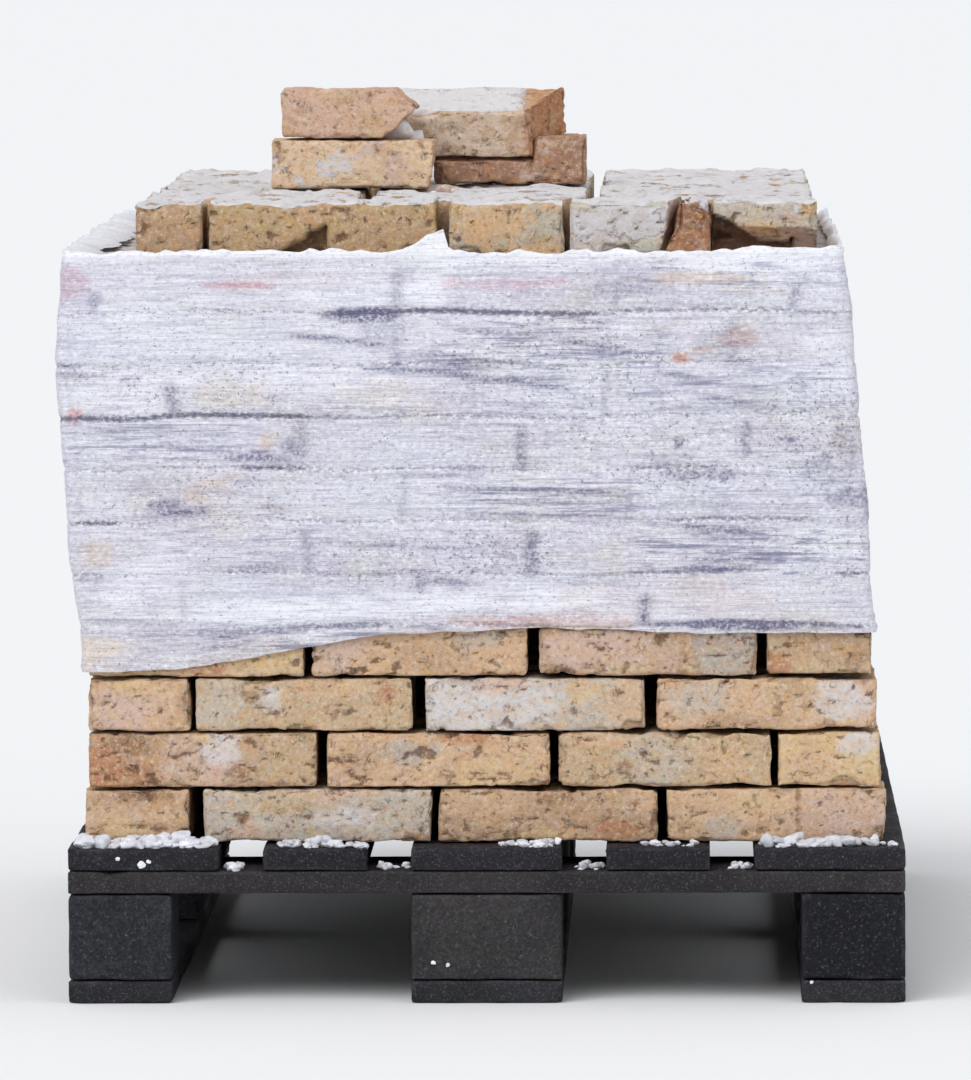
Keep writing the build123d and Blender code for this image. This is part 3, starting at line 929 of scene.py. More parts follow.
# Marks on the front of the film: middle along X and up Z, reach both ways, how much of the
# brick's colour shows there, how dark it is, and the colour
MARKS = (
    (188, 614, 9, 6, 1.0, 0.0, RUST), (205, 622, 10, 3, 0.7, 0.0, RUST),
    (-396, 688, 16, 16, 0.45, 0.1, (196, 130, 140)), (-372, 672, 8, 6, 0.0, 0.5, PINK),
    (-235, 685, 34, 5, 0.7, 0.1, (206, 132, 134)), (-170, 690, 60, 10, 0.25, 0.0, PINK),
    (10, 686, 85, 6, 0.4, 0.0, (222, 160, 168)), (205, 690, 62, 7, 0.7, 0.0, OCHRE),
    (265, 680, 40, 3, 0.5, 0.0, PINK), (-280, 485, 12, 9, 0.55, 0.0, OCHRE),
    (-262, 495, 14, 6, 0.5, 0.0, YELLOW), (-240, 503, 10, 4, 0.5, 0.0, OCHRE),
    (-214, 522, 20, 6, 0.0, 0.8, OCHRE), (-208, 536, 10, 12, 0.6, 0.0, OCHRE),
    (-184, 530, 14, 14, 0.0, 0.55, OCHRE), (-308, 474, 18, 7, 0.0, 0.7, OCHRE),
    (-275, 470, 16, 3, 0.0, 0.6, OCHRE), (-205, 472, 12, 5, 0.2, 0.4, YELLOW),
    (330, 505, 26, 20, 0.0, 0.35, OCHRE), (348, 482, 22, 10, 0.0, 0.6, OCHRE),
    (340, 535, 12, 16, 0.25, 0.35, OCHRE), (200, 503, 42, 7, 0.0, 0.5, OCHRE),
    (184, 534, 6, 7, 0.0, 0.9, OCHRE), (290, 536, 7, 4, 0.0, 0.8, OCHRE),
    (225, 628, 30, 16, 0.0, 0.3, OCHRE), (-374, 428, 18, 18, 0.55, 0.0, OCHRE),
    (-380, 405, 14, 6, 0.0, 0.4, OCHRE), (-370, 335, 30, 12, 0.45, 0.0, YELLOW),
    (-392, 320, 16, 8, 0.3, 0.0, APRICOT), (250, 359, 75, 6, 0.0, 0.9, OCHRE),
    (-392, 560, 8, 8, 0.7, 0.0, (224, 140, 120)), (120, 380, 60, 18, 0.25, 0.0, PINK),
    (230, 382, 60, 12, 0.3, 0.0, PINK), (90, 358, 50, 5, 0.6, 0.0, APRICOT),
    (-115, 655, 40, 8, 0.0, 0.9, OCHRE), (-95, 645, 30, 12, 0.0, 0.4, OCHRE),
    (-240, 580, 50, 12, 0.25, 0.0, YELLOW), (-100, 582, 40, 14, 0.2, 0.0, YELLOW),
    (270, 425, 30, 10, 0.0, 0.35, OCHRE), (-338, 595, 8, 4, 0.0, 0.6, OCHRE),
    (-385, 600, 22, 4, 0.0, 0.55, OCHRE), (366, 622, 14, 34, 0.6, 0.1, OCHRE),
    (372, 655, 9, 26, 0.5, 0.0, TAN), (240, 635, 22, 9, 0.5, 0.0, RUST),
    (372, 470, 14, 24, 0.0, 0.45, OCHRE), (60, 362, 90, 7, 0.45, 0.0, RUST),
    (210, 398, 50, 8, 0.35, 0.0, PINK), (140, 682, 60, 9, 0.0, 0.3, OCHRE),
)
# Bands of close parallel lines on the front: middle along X and up Z, reach both ways, strength
LINE_BANDS = (
    (50, 625, 150, 34, 0.75), (240, 432, 130, 26, 1.0), (60, 480, 110, 26, 0.75),
    (-320, 535, 110, 26, 0.6), (-180, 345, 170, 16, 0.75), (-250, 440, 110, 20, 0.4),
    (210, 590, 160, 28, 0.45), (300, 500, 80, 30, 0.35), (240, 690, 120, 14, 0.5),
    (-30, 560, 120, 22, 0.3),
)
# Its whiter parts
WHITE_PARTS = (
    (-335, 585, 60, 28, 0.8), (-200, 372, 170, 14, 0.9), (10, 382, 160, 13, 1.0),
    (-340, 400, 56, 22, 0.8), (-58, 682, 26, 16, 1.0), (-330, 690, 90, 22, 0.5),
    (270, 706, 120, 10, 0.9), (-170, 600, 120, 26, 0.5), (330, 622, 36, 26, 0.6),
    (-370, 470, 40, 30, 0.5), (40, 705, 110, 9, 0.8), (-250, 650, 180, 60, 0.45),
)
# Its parts with many dark specks
SPECKLED_PARTS = (
    (310, 550, 60, 50, 1.0), (190, 500, 70, 16, 0.9), (10, 428, 70, 24, 1.0),
    (-280, 590, 110, 36, 0.6), (70, 610, 130, 50, 0.6), (-250, 480, 120, 34, 0.5),
    (-110, 420, 90, 30, 0.6), (340, 420, 40, 60, 0.5), (140, 545, 120, 20, 0.5),
)
# Upright joints that show through the front as lines of painted shade: place along X, from and to
# up Z, width, strength
UPRIGHT_JOINTS = (
    (-301, 560, 590, 6, 0.7), (-178, 518, 556, 7, 0.45), (-85, 600, 645, 5, 0.5),
    (-172, 412, 452, 6, 0.5), (-63, 392, 410, 5, 0.8), (-290, 362, 405, 4, 0.25),
    (-373, 659, 673, 4, 0.6), (34, 508, 550, 6, 0.75), (136, 458, 500, 4, 0.4),
    (43, 406, 448, 7, 0.75), (151, 360, 388, 6, 0.95), (248, 520, 556, 5, 0.6),
    (126, 663, 690, 5, 0.5), (236, 604, 650, 8, 0.45), (295, 662, 684, 7, 0.6),
    (115, 558, 600, 4, 0.35), (-84, 660, 698, 6, 0.45), (-79, 458, 500, 4, 0.3),
)
# Where the photo's pixel column 615.5 and row 886.5 lie along X and up Z, and a pixel's size
PHOTO_MIDDLE, PHOTO_ROW, ROW_HEIGHT = 615.5, 886.5, 149
PIXEL_X, PIXEL_Z = 3.0, 2.99
# Single dark streaks on the front, read from two enlarged crops of the photo: their
# ends in the crop's pixels, half width and strength
RIGHT_STREAKS = (
    ((0, 330), (380, 362), 1.6, 0.5), ((380, 362), (690, 415), 1.8, 0.65),
    ((0, 430), (330, 455), 1.4, 0.45), ((0, 482), (480, 540), 1.8, 0.65),
    ((0, 455), (140, 458), 1.6, 0.7), ((180, 500), (430, 500), 1.5, 0.5),
    ((700, 470), (950, 522), 1.6, 0.5), ((860, 560), (1100, 602), 2.0, 0.5),
    ((0, 575), (560, 600), 1.3, 0.3), ((0, 870), (640, 892), 1.6, 0.55),
    ((0, 915), (640, 925), 1.4, 0.35), ((60, 960), (640, 968), 1.6, 0.45),
    ((700, 930), (1100, 945), 1.3, 0.35), ((780, 1003), (1090, 1022), 1.8, 0.75),
    ((800, 1040), (1190, 1045), 1.5, 0.55), ((820, 1085), (1150, 1085), 1.4, 0.45),
    ((820, 1120), (1110, 1118), 1.6, 0.6), ((780, 1150), (1090, 1150), 1.6, 0.65),
    ((640, 760), (900, 772), 1.3, 0.3), ((0, 800), (250, 822), 1.5, 0.4),
)
LEFT_STREAKS = (
    ((850, 258), (1250, 300), 1.7, 0.7), ((1100, 375), (1560, 402), 1.7, 0.65),
    ((1300, 330), (1560, 345), 1.5, 0.5), ((1430, 370), (1560, 374), 1.6, 0.6),
    ((120, 590), (700, 622), 1.3, 0.35), ((330, 655), (720, 672), 1.4, 0.4),
    ((600, 700), (900, 712), 2.2, 0.7), ((380, 900), (580, 900), 1.8, 0.7),
    ((1220, 752), (1560, 770), 1.5, 0.4), ((650, 1095), (880, 1098), 1.8, 0.55),
    ((560, 1345), (1250, 1290), 1.8, 0.6), ((300, 1332), (900, 1325), 1.4, 0.45),
    ((330, 1395), (760, 1370), 1.5, 0.45), ((150, 1278), (480, 1292), 1.5, 0.45),
    ((1000, 1010), (1560, 1020), 1.3, 0.35), ((1330, 1135), (1560, 1150), 1.8, 0.6),
)
# Each crop's streaks, its left and upper edge in the photo and how much it was enlarged
CROPS = ((RIGHT_STREAKS, 600, 690, 1568 / 148), (LEFT_STREAKS, 475, 700, 11.2))


def streaks():
    """The streaks from X and Z to X and Z, with half width and strength."""
    for items, crop_left, crop_top, enlarged in CROPS:
        for *ends, width, shade in items:
            places = []
            for column, row in ends:
                places.append(round((crop_left + column / enlarged - PHOTO_MIDDLE) * PIXEL_X))
                down = PHOTO_ROW - (crop_top + row / enlarged)
                places.append(round(ROW_HEIGHT + down * PIXEL_Z))
            yield (*places, width, shade)


# Stretches of the joints between the wrapped courses on the front where the film dips deeper and
# gets darker painted shade: the joint counted from the lowest, its start and end along X, and how
# dark it is
DARK_JOINTS = (
    (0, -180, -150, 0.5), (0, 150, 367, 0.7), (1, -253, -190, 0.5), (1, 133, 245, 0.55),
    (1, 330, 358, 0.7), (2, -390, -350, 0.9), (2, 170, 310, 0.6), (3, -240, -172, 0.8),
    (3, 133, 225, 0.5), (4, -405, -165, 0.95), (4, -165, 120, 0.35), (5, -405, -388, 0.8),
    (5, -115, -60, 0.5), (5, 133, 160, 0.5), (6, -150, 110, 1.0), (6, 110, 345, 0.5),
)
# The hem seen from the front: places along X and heights above the top of the bare courses
HEM_PLACES = (-385, -300, -240, -176, -99, 60, 130, 200)
HEM_HEIGHTS = (-44, -41, -33, -20, -7, 0, -3, -6)


def film_levels():
    """Heights of the course joints under the film, and left, right, front and rear at each."""
    boxes = [node_box(f"course_{course:02d}") for course in range(BARE_COURSES, COURSES + 1)]
    heights = [boxes[0][0][2]] + [low[2] for low, _ in boxes[1:]] + [boxes[-1][1][2]]
    sides = []
    for (low, high), (next_low, next_high) in zip([boxes[0]] + boxes, boxes + [boxes[-1]]):
        least, most = np.minimum(low, next_low), np.maximum(high, next_high)
        sides.append((least[0], most[0], least[1], most[1]))
    return np.array(heights), np.array(sides)


def around(left, right, front, rear):
    """Points and ways out round rectangles with rounded corners, from the front left corner."""
    radius = CORNER_RADIUS
    width = np.max(right) - np.min(left)
    along_front, along_rear = int(width / FRONT_STEP), int(width / REST_STEP)
    along_side = int((np.max(rear) - np.min(front)) / REST_STEP)
    left, right, front, rear = left + radius, right - radius, front + radius, rear - radius
    sides = (
        (left, front, right, front, -90, along_front), (right, front, right, rear, 0, along_side),
        (right, rear, left, rear, 90, along_rear), (left, rear, left, front, 180, along_side))
    pieces = []
    for from_x, from_y, x, y, start, count in sides:
        share = np.concatenate([(np.arange(count) + 0.5) / count, np.ones(CORNER_STEPS)])
        turns = np.concatenate([np.zeros(count), (np.arange(CORNER_STEPS) + 0.5) / CORNER_STEPS])
        angle = np.radians(start + 90 * turns) + np.zeros((len(x), 1))
        out_x, out_y = np.cos(angle), np.sin(angle)
        pieces.append((
            from_x[:, None] + (x - from_x)[:, None] * share + out_x * radius,
            from_y[:, None] + (y - from_y)[:, None] * share + out_y * radius, out_x, out_y))
    return [np.concatenate(part, axis=1) for part in zip(*pieces)]


def behind_film(courses, x, y, z):
    """For each film point: the brick's colour, how near an end joint is (where the film dips and
    gets painted shade), how the brick stands.
    """
    tint = np.zeros((len(x), 3)) + linear(OCHRE)
    seam = np.zeros(len(x))
    relief = np.zeros(len(x))
    for number in range(BARE_COURSES, COURSES + 1):
        dice = np.random.default_rng(700 + number)
        for box in courses[number]:
            middle = box["middle"]
            up = z - middle[2]
            level = np.abs(up) <= box["half"][2] + 0.01
            reach = reach_of(box)
            over_x = np.abs(x - middle[0]) - reach[0]
            over_y = np.abs(y - middle[1]) - reach[1]
            face_x = level & (over_x < 0) & (over_y < 14)
            face_y = level & (over_y < 0) & (over_x < 14)
            near = face_x | face_y
            tint[near] = box["tone"]
            slope = dice.uniform(-1.6, 2.4) * up / box["half"][2]
            relief[near] = (dice.uniform(-0.5, 0.9) + 0.5 * slope)[near]
            for face, over, other in ((face_x, over_x, over_y), (face_y, over_y, over_x)):
                edge = np.where(face & (other > -9), np.exp(-((over + 1) / 2.8) ** 2), 0)
                seam = np.maximum(seam, edge)
    return tint, seam, relief


def patches(x, z, flat, parts, seed):
    """The strongest of several ragged patches at each point."""
    total = np.zeros(len(x))
    for number, (middle_x, middle_z, reach_x, reach_z, strength) in enumerate(parts):
        away = np.hypot((x - middle_x) / reach_x, (z - middle_z) / reach_z)
        away += 0.35 * noise(flat, (22, 22, 9), seed + number)
        total = np.maximum(total, strength * (1 - ramp(away, 0.55, 1.2)))
    return total


def film_texture(x, z, flat, on_front):
    """How strong the fine lines are, how white the film is and how many specks it has."""
    columns = []
    for parts, seed in ((LINE_BANDS, 501), (WHITE_PARTS, 521), (SPECKLED_PARTS, 541)):
        anywhere = ramp(rough_noise(flat, (150, 150, 46), seed + 90), 0.0, 0.6)
        columns.append(np.where(on_front, patches(x, z, flat, parts, seed), 0.8 * anywhere))
    return np.stack(columns, axis=1)


def film_marks(x, z, flat, on_front):
    """Where bricks show through the film's front, how dark it is, and the colour that shows."""
    shown = np.zeros(len(x))
    dark = np.zeros(len(x))
    tint = np.zeros((len(x), 3))
    for number, (middle_x, middle_z, reach_x, reach_z, show, shade, colour) in enumerate(MARKS):
        away = np.hypot((x - middle_x) / reach_x, (z - middle_z) / reach_z)
        near = on_front * (1 - ramp(away + 0.4 * noise(flat, 9, 401 + number), 0.6, 1.15))
        tint = np.where((near * show > shown)[:, None], linear(colour), tint)
        shown = np.maximum(shown, near * show)
        dark = np.maximum(dark, near * shade)
    bent = 2.5 * noise(flat, 14, 431)
    # Painted shade along the upright joints on the front
    for middle_x, low, high, width, shade in UPRIGHT_JOINTS:
        line = np.exp(-((x - middle_x - bent) / width) ** 2)
        dark = np.maximum(dark, on_front * window(z, low, high, 4, 4) * line * shade)
    bent = 2.0 * noise(flat, (40, 40, 400), 441)
    for start_x, start_z, end_x, end_z, width, shade in streaks():
        slope = (end_z - start_z) / (end_x - start_x)
        away = z - start_z - slope * (x - start_x) + bent
        line = window(x, start_x, end_x, 8, 25) * np.exp(-(away / (1.6 * width)) ** 2)
        dark = np.maximum(dark, on_front * line * min(1.4 * shade, 1))
    return shown, dark, tint


def film_rows(heights):
    """Levels of the film's rows between its hem and its lip, close together at the joints."""
    levels = []
    for low, high in zip(heights[1:], heights[2:]):
        inner = np.linspace(low + 7.2, high - 7.2, INNER_ROWS)
        levels += [low + 1.5, low + 3.8, *inner, high - 3.8, high - 1.5, high]
    return np.array(levels[2:-2])


def film_edges(heights, ring, x, y, top_x):
    """Levels of the hem and of the lip round the load, which leans to the left."""
    hem = heights[1] + np.interp(x, HEM_PLACES, HEM_HEIGHTS)
    hem += 2.4 * rough_noise(ring, 170, 101) + 1.6 * rough_noise(ring, 26, 103)
    lip = heights[-1] + LIP_HEIGHT + 3.2 * rough_noise(ring, 70, 107)
    lip += 2.6 * rough_noise(ring, 24, 109) + 2.6 * noise(ring, 9, 110)
    flap = np.where(top_x < -41, np.clip((top_x + 88) / 47, 0, 1) ** 1.3, ramp(-top_x, 33, 40))
    return hem, lip + np.where(y < 0, 20 * flap + 4 * ramp(top_x, 220, 340), 0)


def film_grid():
    """The film while it is still smooth: rows from the hem up to the lip, over it and inwards.

    flat is the place of each point in the noise, as on a cylinder as long round as the film.
    """
    heights, sides = film_levels()
    bottom, top = heights[1], heights[-1]
    levels = film_rows(heights)
    rough_z = np.concatenate([
        np.linspace(bottom - HEM_DROP, levels[0], HEM_ROWS + 1)[:-1], levels,
        np.full(LIP_ROWS + FOLD_ROWS, top)])
    left, right, front, rear = [np.interp(rough_z, heights, side) for side in sides.T]
    x, y, out_x, out_y = around(
        left - FILM_OUT, right + FILM_OUT, front - FILM_OUT, rear + FILM_OUT)
    rows, count = x.shape
    step = np.hypot(np.diff(x[0], append=x[0, :1]), np.diff(y[0], append=y[0, :1]))
    length = step.sum()
    angle = (np.cumsum(step) - step) / length * 2 * np.pi
    ring = np.stack([np.cos(angle), np.sin(angle), np.zeros(count)], axis=1)
    ring *= length / (2 * np.pi)
    hem, lip = film_edges(heights, ring, x[0], y[0], x[-1])
    wander = 3.4 * noise(ring, 150, 137) + 1.3 * noise(ring, 50, 138)
    z = rough_z[:, None] + wander
    z[:HEM_ROWS] = hem + (levels[0] + wander - hem) * np.arange(HEM_ROWS)[:, None] / HEM_ROWS
    lip_start = HEM_ROWS + len(levels)
    fold_start = lip_start + LIP_ROWS
    share = (np.arange(LIP_ROWS)[:, None] + 1) / LIP_ROWS
    z[lip_start:fold_start] = z[lip_start - 1] + (lip - z[lip_start - 1]) * share
    share = (np.arange(FOLD_ROWS)[:, None] + 1) / FOLD_ROWS
    z[fold_start:] = lip + 1.5 * np.sin(2.2 * share) - (lip - top - 1.5) * share ** 2
    fold = np.zeros((rows, count))
    fold[fold_start:] = share * np.where(out_x[0] < -0.5, LEFT_FOLD_WIDTH, FOLD_WIDTH)
    fold[fold_start:] *= 1 + 0.3 * noise(ring, 40, 167)
    flat = np.repeat(ring[None], rows, axis=0)
    flat[:, :, 2] = z - bottom + fold
    return SimpleNamespace(
        x=x.ravel(), y=y.ravel(), z=z.ravel(), out_x=out_x.ravel(), out_y=out_y.ravel(),
        fold=fold.ravel(), flat=flat.reshape(-1, 3), above_hem=(z - hem).ravel(),
        wander=np.tile(wander, rows), heights=heights, front=sides[0][2], length=length,
        faces=ring_faces(rows, count))


def film_joints(film, on_front):
    """How deep the film dips at the joints between the courses, and how much painted shade it gets
    there.
    """
    dip = np.zeros(len(film.x))
    shade = np.zeros(len(film.x))
    for place, joint in enumerate(film.heights[1:-1]):
        strength = noise(film.flat + (0, 0, 97.0 * place), (110, 110, 900), 139)
        strength = 0.7 * ramp(strength, -0.5, 0.6)
        strength = np.where(on_front, 0.15 + 0.25 * strength, strength)
        for number, start, end, dark in DARK_JOINTS:
            if number == place:
                inside = window(film.x, start, end, 12, 12)
                strength = np.maximum(strength, on_front * inside * dark)
        near = np.exp(-((film.z - joint - film.wander) / (1.7 + 1.5 * strength)) ** 2)
        dip += 1.7 * near * (0.5 + 0.5 * strength)
        shade = np.maximum(shade, near * (0.2 + 0.8 * strength))
    return dip, shade


def make_film(material, courses):
    """The wrap: it follows the courses, dips at the joints, is wrinkled and has ragged edges."""
    film = film_grid()
    flat, x, y, z, out_x, out_y = film.flat, film.x, film.y, film.z, film.out_x, film.out_y
    bottom, top = film.heights[1], film.heights[-1]
    on_front = y < film.front + FRONT_REACH
    slanted = flat.copy()
    slanted[:, 2] += 0.035 * x
    push = 1.25 + 0.9 * rough_noise(slanted, (110, 110, 6), 113)
    push += 1.0 * rough_noise(slanted, (280, 280, 19), 127)
    push += 0.5 * noise(flat, (26, 26, 14), 131) + 0.35 * noise(slanted, (30, 30, 4.2), 133)
    tint, seam, relief = behind_film(courses, x, y, z)
    dip, shade = film_joints(film, on_front)
    corner = np.maximum(np.abs(out_x), np.abs(out_y)) < 0.999
    # The film dips and gets painted shade along the upright joints on the sides
    seam = np.where(corner | on_front, 0, seam) * ramp(noise(flat, (90, 90, 60), 149), -0.3, 0.5)
    shade = np.maximum(shade, seam * 0.7)
    push += relief - dip - 0.9 * seam + np.where(corner, 1.8 * noise(flat, (60, 60, 44), 151), 0)
    # The bulge of the left side, near the front
    share = (z - bottom + HEM_DROP) / (top - bottom + HEM_DROP)
    hump = np.sin(math.pi * np.clip(share, 0, 1)) * ramp(-out_x, 0.2, 0.9)
    push += 10.5 * hump * (1 - ramp(y, film.front + 250, film.front + 700))
    # The crinkled lip with its painted highlight, the thicker hem and the edge of the outer layer
    lip_share_and_highlight = ramp(z, top - 2, top + 7)
    push += lip_share_and_highlight * 2.6 * rough_noise(flat, (24, 24, 9), 157)
    push += 1.2 * np.exp(-((film.above_hem - 7) / 5) ** 2)
    outer_layer = ramp(z - (bottom + 8 + 0.03 * x + 30 * ramp(x, 0, 330)), 0, 3)
    push += np.where((y < film.front + 60) & (x > -60), 0.8 * outer_layer, 0)
    push = np.maximum(push, 0.05) - film.fold
    z = z + np.where(film.fold > 0, 1.2 * rough_noise(flat, (30, 30, 12), 173), 0)
    x, y = x + out_x * push, y + out_y * push
    on_front = y < y.min() + FRONT_REACH
    thin = ramp(film.above_hem, 34, 3)
    tinted = 0.6 + 0.7 * thin + 0.5 * rough_noise(flat, (120, 120, 60), 163)
    shown, dark, mark_tint = film_marks(x, z, flat, on_front)
    heap = Heap()
    heap.add(
        np.stack([x, y, z], axis=1), film.faces,
        tone=np.where((shown > 0.02)[:, None], mark_tint, tint),
        second=film_texture(x, z, flat, on_front),
        mask=np.stack([np.clip(shade, 0, 1), np.clip(tinted, 0, 1.4), 0.5 + 0.5 * thin], axis=1),
        mix=np.stack([shown, dark, lip_share_and_highlight], axis=1))
    piece = heap.build("film_wrap", material, ["stretch_film"])


# Pallet

# Distances of a board's first grid lines from its ends
BOARD_ENDS = np.array([0, 2, 5, 9, 14, 20, 28, 40, 60])
# Worn places on the pallet's front, as balls that cut into the wood: middle and radius
WORN_CORNERS = (
    (-402, -603, -3, 12), (-298, -603, -3, 10), (-75, -603, -3, 10), (75, -603, -3, 11),
    (298, -603, -3, 9), (402, -603, -3, 12), (334, -604, 0, 9), (403, -604, 152, 12),
    (-403, -604, 152, 8),
)


def make_wood(node, material, slot, along, seed):
    """One board or block, with sawn and worn edges; along is the axis of the grain."""
    low, high = node_box(node)
    half = (high - low) / 2
    block = slot == "pallet_block"
    lines = [cuts(2 * half[axis], 6.0 if block or axis < 2 else 4.0, True) for axis in range(3)]
    if not block:
        inner = np.linspace(-half[along] + 90, half[along] - 90, 24)
        lines[along] = np.concatenate([
            -half[along] + BOARD_ENDS, inner, (half[along] - BOARD_ENDS)[::-1]])
    points, faces = box_grid(lines)
    place = points + seed * 913.0
    radius = np.clip((4.2 if block else 3.2) + 2.2 * noise(place, 26, 5), 0.8, 7)
    shaped, out = worn(points, half, radius)
    long_grain = np.array([14.0, 14.0, 5.0])
    long_grain[along] = 160.0
    depth = 0.5 + 0.5 * rough_noise(place, 16 if block else long_grain, 7)
    shaped = shaped - out * (depth * (1.6 if block else 0.9))[:, None]
    edge = ramp(np.sort(np.abs(out), axis=1)[:, 1], 0.15, 0.55)
    edge *= ramp(noise(place, 15, 9), -0.2, 0.5)
    dice = np.random.default_rng(seed)
    for _ in range(3):
        corner = half * dice.choice([-1.0, 1.0], 3)
        corner[dice.integers(0, 2)] *= dice.uniform(-1, 1)
        size = dice.uniform(8, 18)
        away = corner / half
        away = away / np.linalg.norm(away)
        dent(shaped, corner + away * size * dice.uniform(0.6, 0.8), size)
    shaped = shaped + (low + high) / 2
    for *centre, size in WORN_CORNERS:
        dent(shaped, centre, size)
    dust = ramp(out[:, 2], 0.5, 0.9) * node.startswith("deck")
    heap = Heap()
    heap.add(shaped, faces, mask=np.stack([edge, 0.25 + 0.75 * dust, dust * 0], axis=1))
    heap.build(f"wood_{node}", material, [node])


def make_pallet():
    """The boards and blocks, each with its material and with the axis of its grain."""
    boards = {
        "bottom": (wood_material("weathered_board", (34, 35, 42), (52, 51, 55)), 1),
        "deck": (wood_material("weathered_deck_board", (25, 25, 32), (41, 40, 47)), 1),
        "stringer": (wood_material("weathered_stringer", (44, 41, 45), (58, 52, 53)), 0)}
    chips = {
        "left": wood_material("pressed_chips", (33, 35, 40), (50, 52, 58), True),
        "middle": wood_material("pressed_chips_brown", (47, 45, 47), (59, 56, 56), True),
        "right": wood_material("pressed_chips_dark", (16, 17, 22), (27, 28, 35), True)}
    for seed, name in enumerate(sorted(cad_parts), 1):
        kind = name.split("_")[0]
        if kind == "block":
            make_wood(name, chips[name.split("_")[2]], "pallet_block", 2, seed)
        elif kind in boards:
            material, along = boards[kind]
            make_wood(name, material, "pallet_board", along, seed)


NAIL_RADIUS = 4.0
NAIL_INSET = 22.0
NAIL_CORNERS = 12
# Rings of a nail head: share of its radius and height above the board
NAIL_RINGS = ((1, -0.9), (0.8, 0.35), (0.3, 0.5))


def make_nails(material):
    """Flat nail heads where the deck boards' ends stand out from under the bricks."""
    angle = np.arange(NAIL_CORNERS) * 2 * math.pi / NAIL_CORNERS
    circle = NAIL_RADIUS * np.stack([np.cos(angle), np.sin(angle), 0 * angle], axis=1)
    lid = np.array([(0, step, step + 1, step + 2) for step in range(1, NAIL_CORNERS - 2, 2)])
    sides = ring_faces(len(NAIL_RINGS), NAIL_CORNERS)
    faces = np.concatenate([sides, lid[:, ::-1], lid + (len(NAIL_RINGS) - 1) * NAIL_CORNERS])
    heap = Heap()
    for number in range(1, 6):
        low, high = node_box(f"deck_board_{number}")
        for y in (low[1] + NAIL_INSET, high[1] - NAIL_INSET):
            for x in (low[0] + 2 * NAIL_INSET, high[0] - 2 * NAIL_INSET):
                rings = [share * circle + (x, y, high[2] + rise) for share, rise in NAIL_RINGS]
                heap.add(np.concatenate(rings), faces)
    heap.build("nail_heads", material, [])


# Mortar

# Where crumbs lie along the pallet's front: start, end, how many, how large, and whether they
# lie down on the stringer, in a gap between deck boards
CRUMBS = (
    (-388, -262, 90, 16, False), (-250, -234, 8, 13, True), (-206, -118, 36, 11, False),
    (-104, -86, 9, 11, True), (-80, -74, 3, 9, True), (12, 70, 40, 9, False),
    (86, 110, 10, 9, True), (150, 200, 14, 7, False), (228, 254, 10, 9, True),
    (266, 388, 50, 13, False),
)
# Larger lumps of mortar and brick between the loose bricks: middle, with its height above the
# part course, size and colour
LUMPS = (
    ((-92, -158, 58), 34, LIME), ((-78, -150, 52), 22, LIME), ((-48, -196, 0), 15, PINK),
    ((-36, -190, -2), 10, PINK), ((-58, -205, -3), 8, LIME),
)
# Splashes of mortar on the front of the pallet: middle along X and up Z, and size
SPLASHES = (
    (-51, 39, 4.5), (-37, 37, 5.0), (-329, 133, 9.0), (-322, 136, 5.0), (-352, 139, 5.0),
    (310, 20, 4.0),
)


def lump(dice, size, flatten):
    """A small irregular stone: points and faces of a rounded box grid."""
    points, faces = box_grid([np.linspace(-1, 1, 5 if size < 9 else 7)] * 3)
    points = points / np.linalg.norm(points, axis=1, keepdims=True)
    place = points + dice.uniform(0, 900, 3)
    stretch = np.array([dice.uniform(0.8, 1.5), dice.uniform(0.8, 1.2), flatten])
    turn = turning(dice.uniform(0, math.pi), 2)
    points = points * (1 + 0.36 * noise(place, 0.9, 3) + 0.26 * noise(place, 0.4, 5))[:, None]
    for _ in range(7):
        facing = dice.normal(size=3)
        facing /= np.linalg.norm(facing)
        over = points @ facing - dice.uniform(0.55, 0.85)
        points -= facing * np.maximum(over, 0)[:, None] * 0.9
    return points * stretch * size / 2 @ turn.T, faces


def make_crumbs(material):
    """Old mortar that fell on the deck-board ends and between the loose bricks."""
    dice = np.random.default_rng(5)
    low, high = node_box("deck_board_1")
    front, deck = low[1], high[2]
    stringer = node_box("stringer_front")[1][2]
    brick_front = node_box("course_01")[0][1]
    heap = Heap()
    for start, end, count, size, in_gap in CRUMBS:
        for _ in range(count):
            big = size * (0.35 + 1.05 * dice.uniform() ** 1.5)
            points, faces = lump(dice, big, dice.uniform(0.5, 0.9))
            x = dice.uniform(start, end)
            y = dice.uniform(front + big * 0.55 + 1, brick_front - big * 0.6)
            z = (stringer if in_gap else deck) - points[:, 2].min() - 0.14 * big
            heap.add(points + (x, y, z), faces, tone=linear(MORTAR) * dice.uniform(0.72, 1.0))
    top = node_box("top_course")[1][2]
    for middle, size, colour in LUMPS:
        points, faces = lump(dice, size, 0.75)
        heap.add(points + middle + (0, 0, top), faces, tone=linear(colour))
    for x, z, size in SPLASHES:
        points, faces = lump(dice, size, 0.9)
        points[:, 1] *= 0.35
        heap.add(points + (x, front - 0.1 * size, z), faces, tone=linear(MORTAR))
    heap.build("mortar_crumbs", material, [])


# Stage

# Soft lights: name, the side they come from, how wide they are in degrees, strength
SUNS = (("key", (-0.42, -0.74, 0.92), 45, 1.74), ("fill", (0.8, -0.6, 0.4), 60, 0.38))
SKY_STRENGTH = 0.64
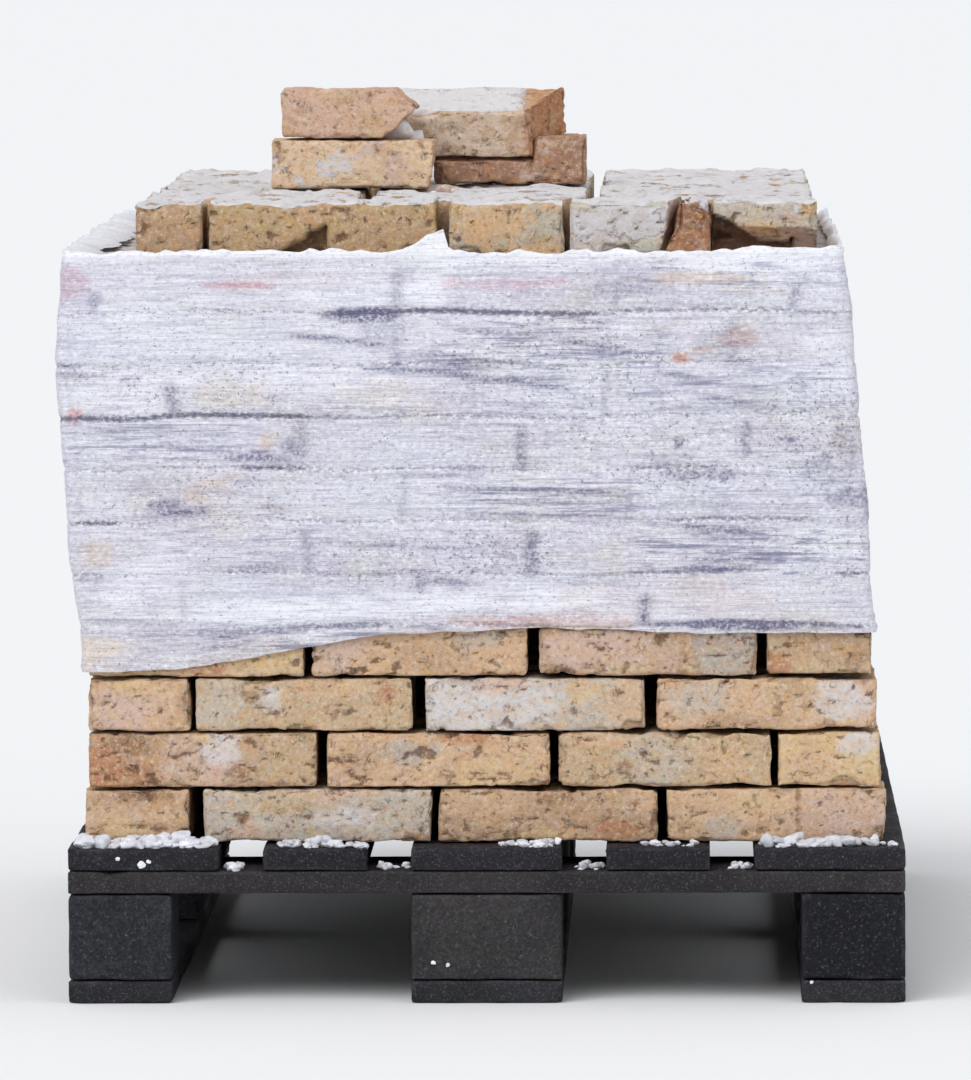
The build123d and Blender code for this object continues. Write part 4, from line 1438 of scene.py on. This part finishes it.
# Half the floor's width in metres
FLOOR = 150.0


def place_object(name, data):
    """A new object in the scene."""
    made = bpy.data.objects.new(name, data)
    bpy.context.scene.collection.objects.link(made)
    return made


def make_stage():
    """A wide pale floor, a pale sky and soft lights."""
    mesh = bpy.data.meshes.new("floor")
    corners = [(-FLOOR, -FLOOR, 0), (FLOOR, -FLOOR, 0), (FLOOR, FLOOR, 0), (-FLOOR, FLOOR, 0)]
    mesh.from_pydata(corners, [], [(0, 1, 2, 3)])
    material, tree = new_material("floor_paint")
    shader = tree.nodes["Principled BSDF"]
    shader.inputs["Base Color"].default_value = (0.86, 0.86, 0.86, 1)
    shader.inputs["Roughness"].default_value = 0.9
    mesh.materials.append(material)
    place_object("floor", mesh)
    world = bpy.data.worlds.new("sky")
    bpy.context.scene.world = world
    world.use_nodes = True
    background = world.node_tree.nodes["Background"]
    background.inputs["Color"].default_value = (0.93, 0.96, 1.0, 1)
    background.inputs["Strength"].default_value = SKY_STRENGTH
    for name, place, spread, strength in SUNS:
        light = bpy.data.lights.new(name, "SUN")
        light.angle = math.radians(spread)
        light.energy = strength
        lamp = place_object(name, light)
        lamp.rotation_euler = (-Vector(place)).to_track_quat("-Z", "Y").to_euler()


def make_camera():
    """The photograph's viewing position, with a longer lens that lets the load fill the frame."""
    camera = bpy.data.cameras.new("camera")
    camera.sensor_width = 36.0
    camera.lens = LENS
    camera.clip_start, camera.clip_end = 0.5, 400.0
    eye = place_object("camera", camera)
    eye.location = EYE
    eye.rotation_mode = "QUATERNION"
    eye.rotation_quaternion = FACING.to_track_quat("-Z", "Y") @ Quaternion((0, 0, 1), -ROLL)
    bpy.context.scene.camera = eye


def main():
    bpy.context.scene.view_settings.view_transform = "Standard"
    make_camera()
    make_stage()
    brick = brick_material()
    courses = {course: make_course(course, brick) for course in range(1, COURSES + 1)}
    make_top_course(brick)
    make_loose_bricks(brick)
    make_film(film_material(), courses)
    make_pallet()
    make_nails(nail_material())
    make_crumbs(mortar_material())


main()
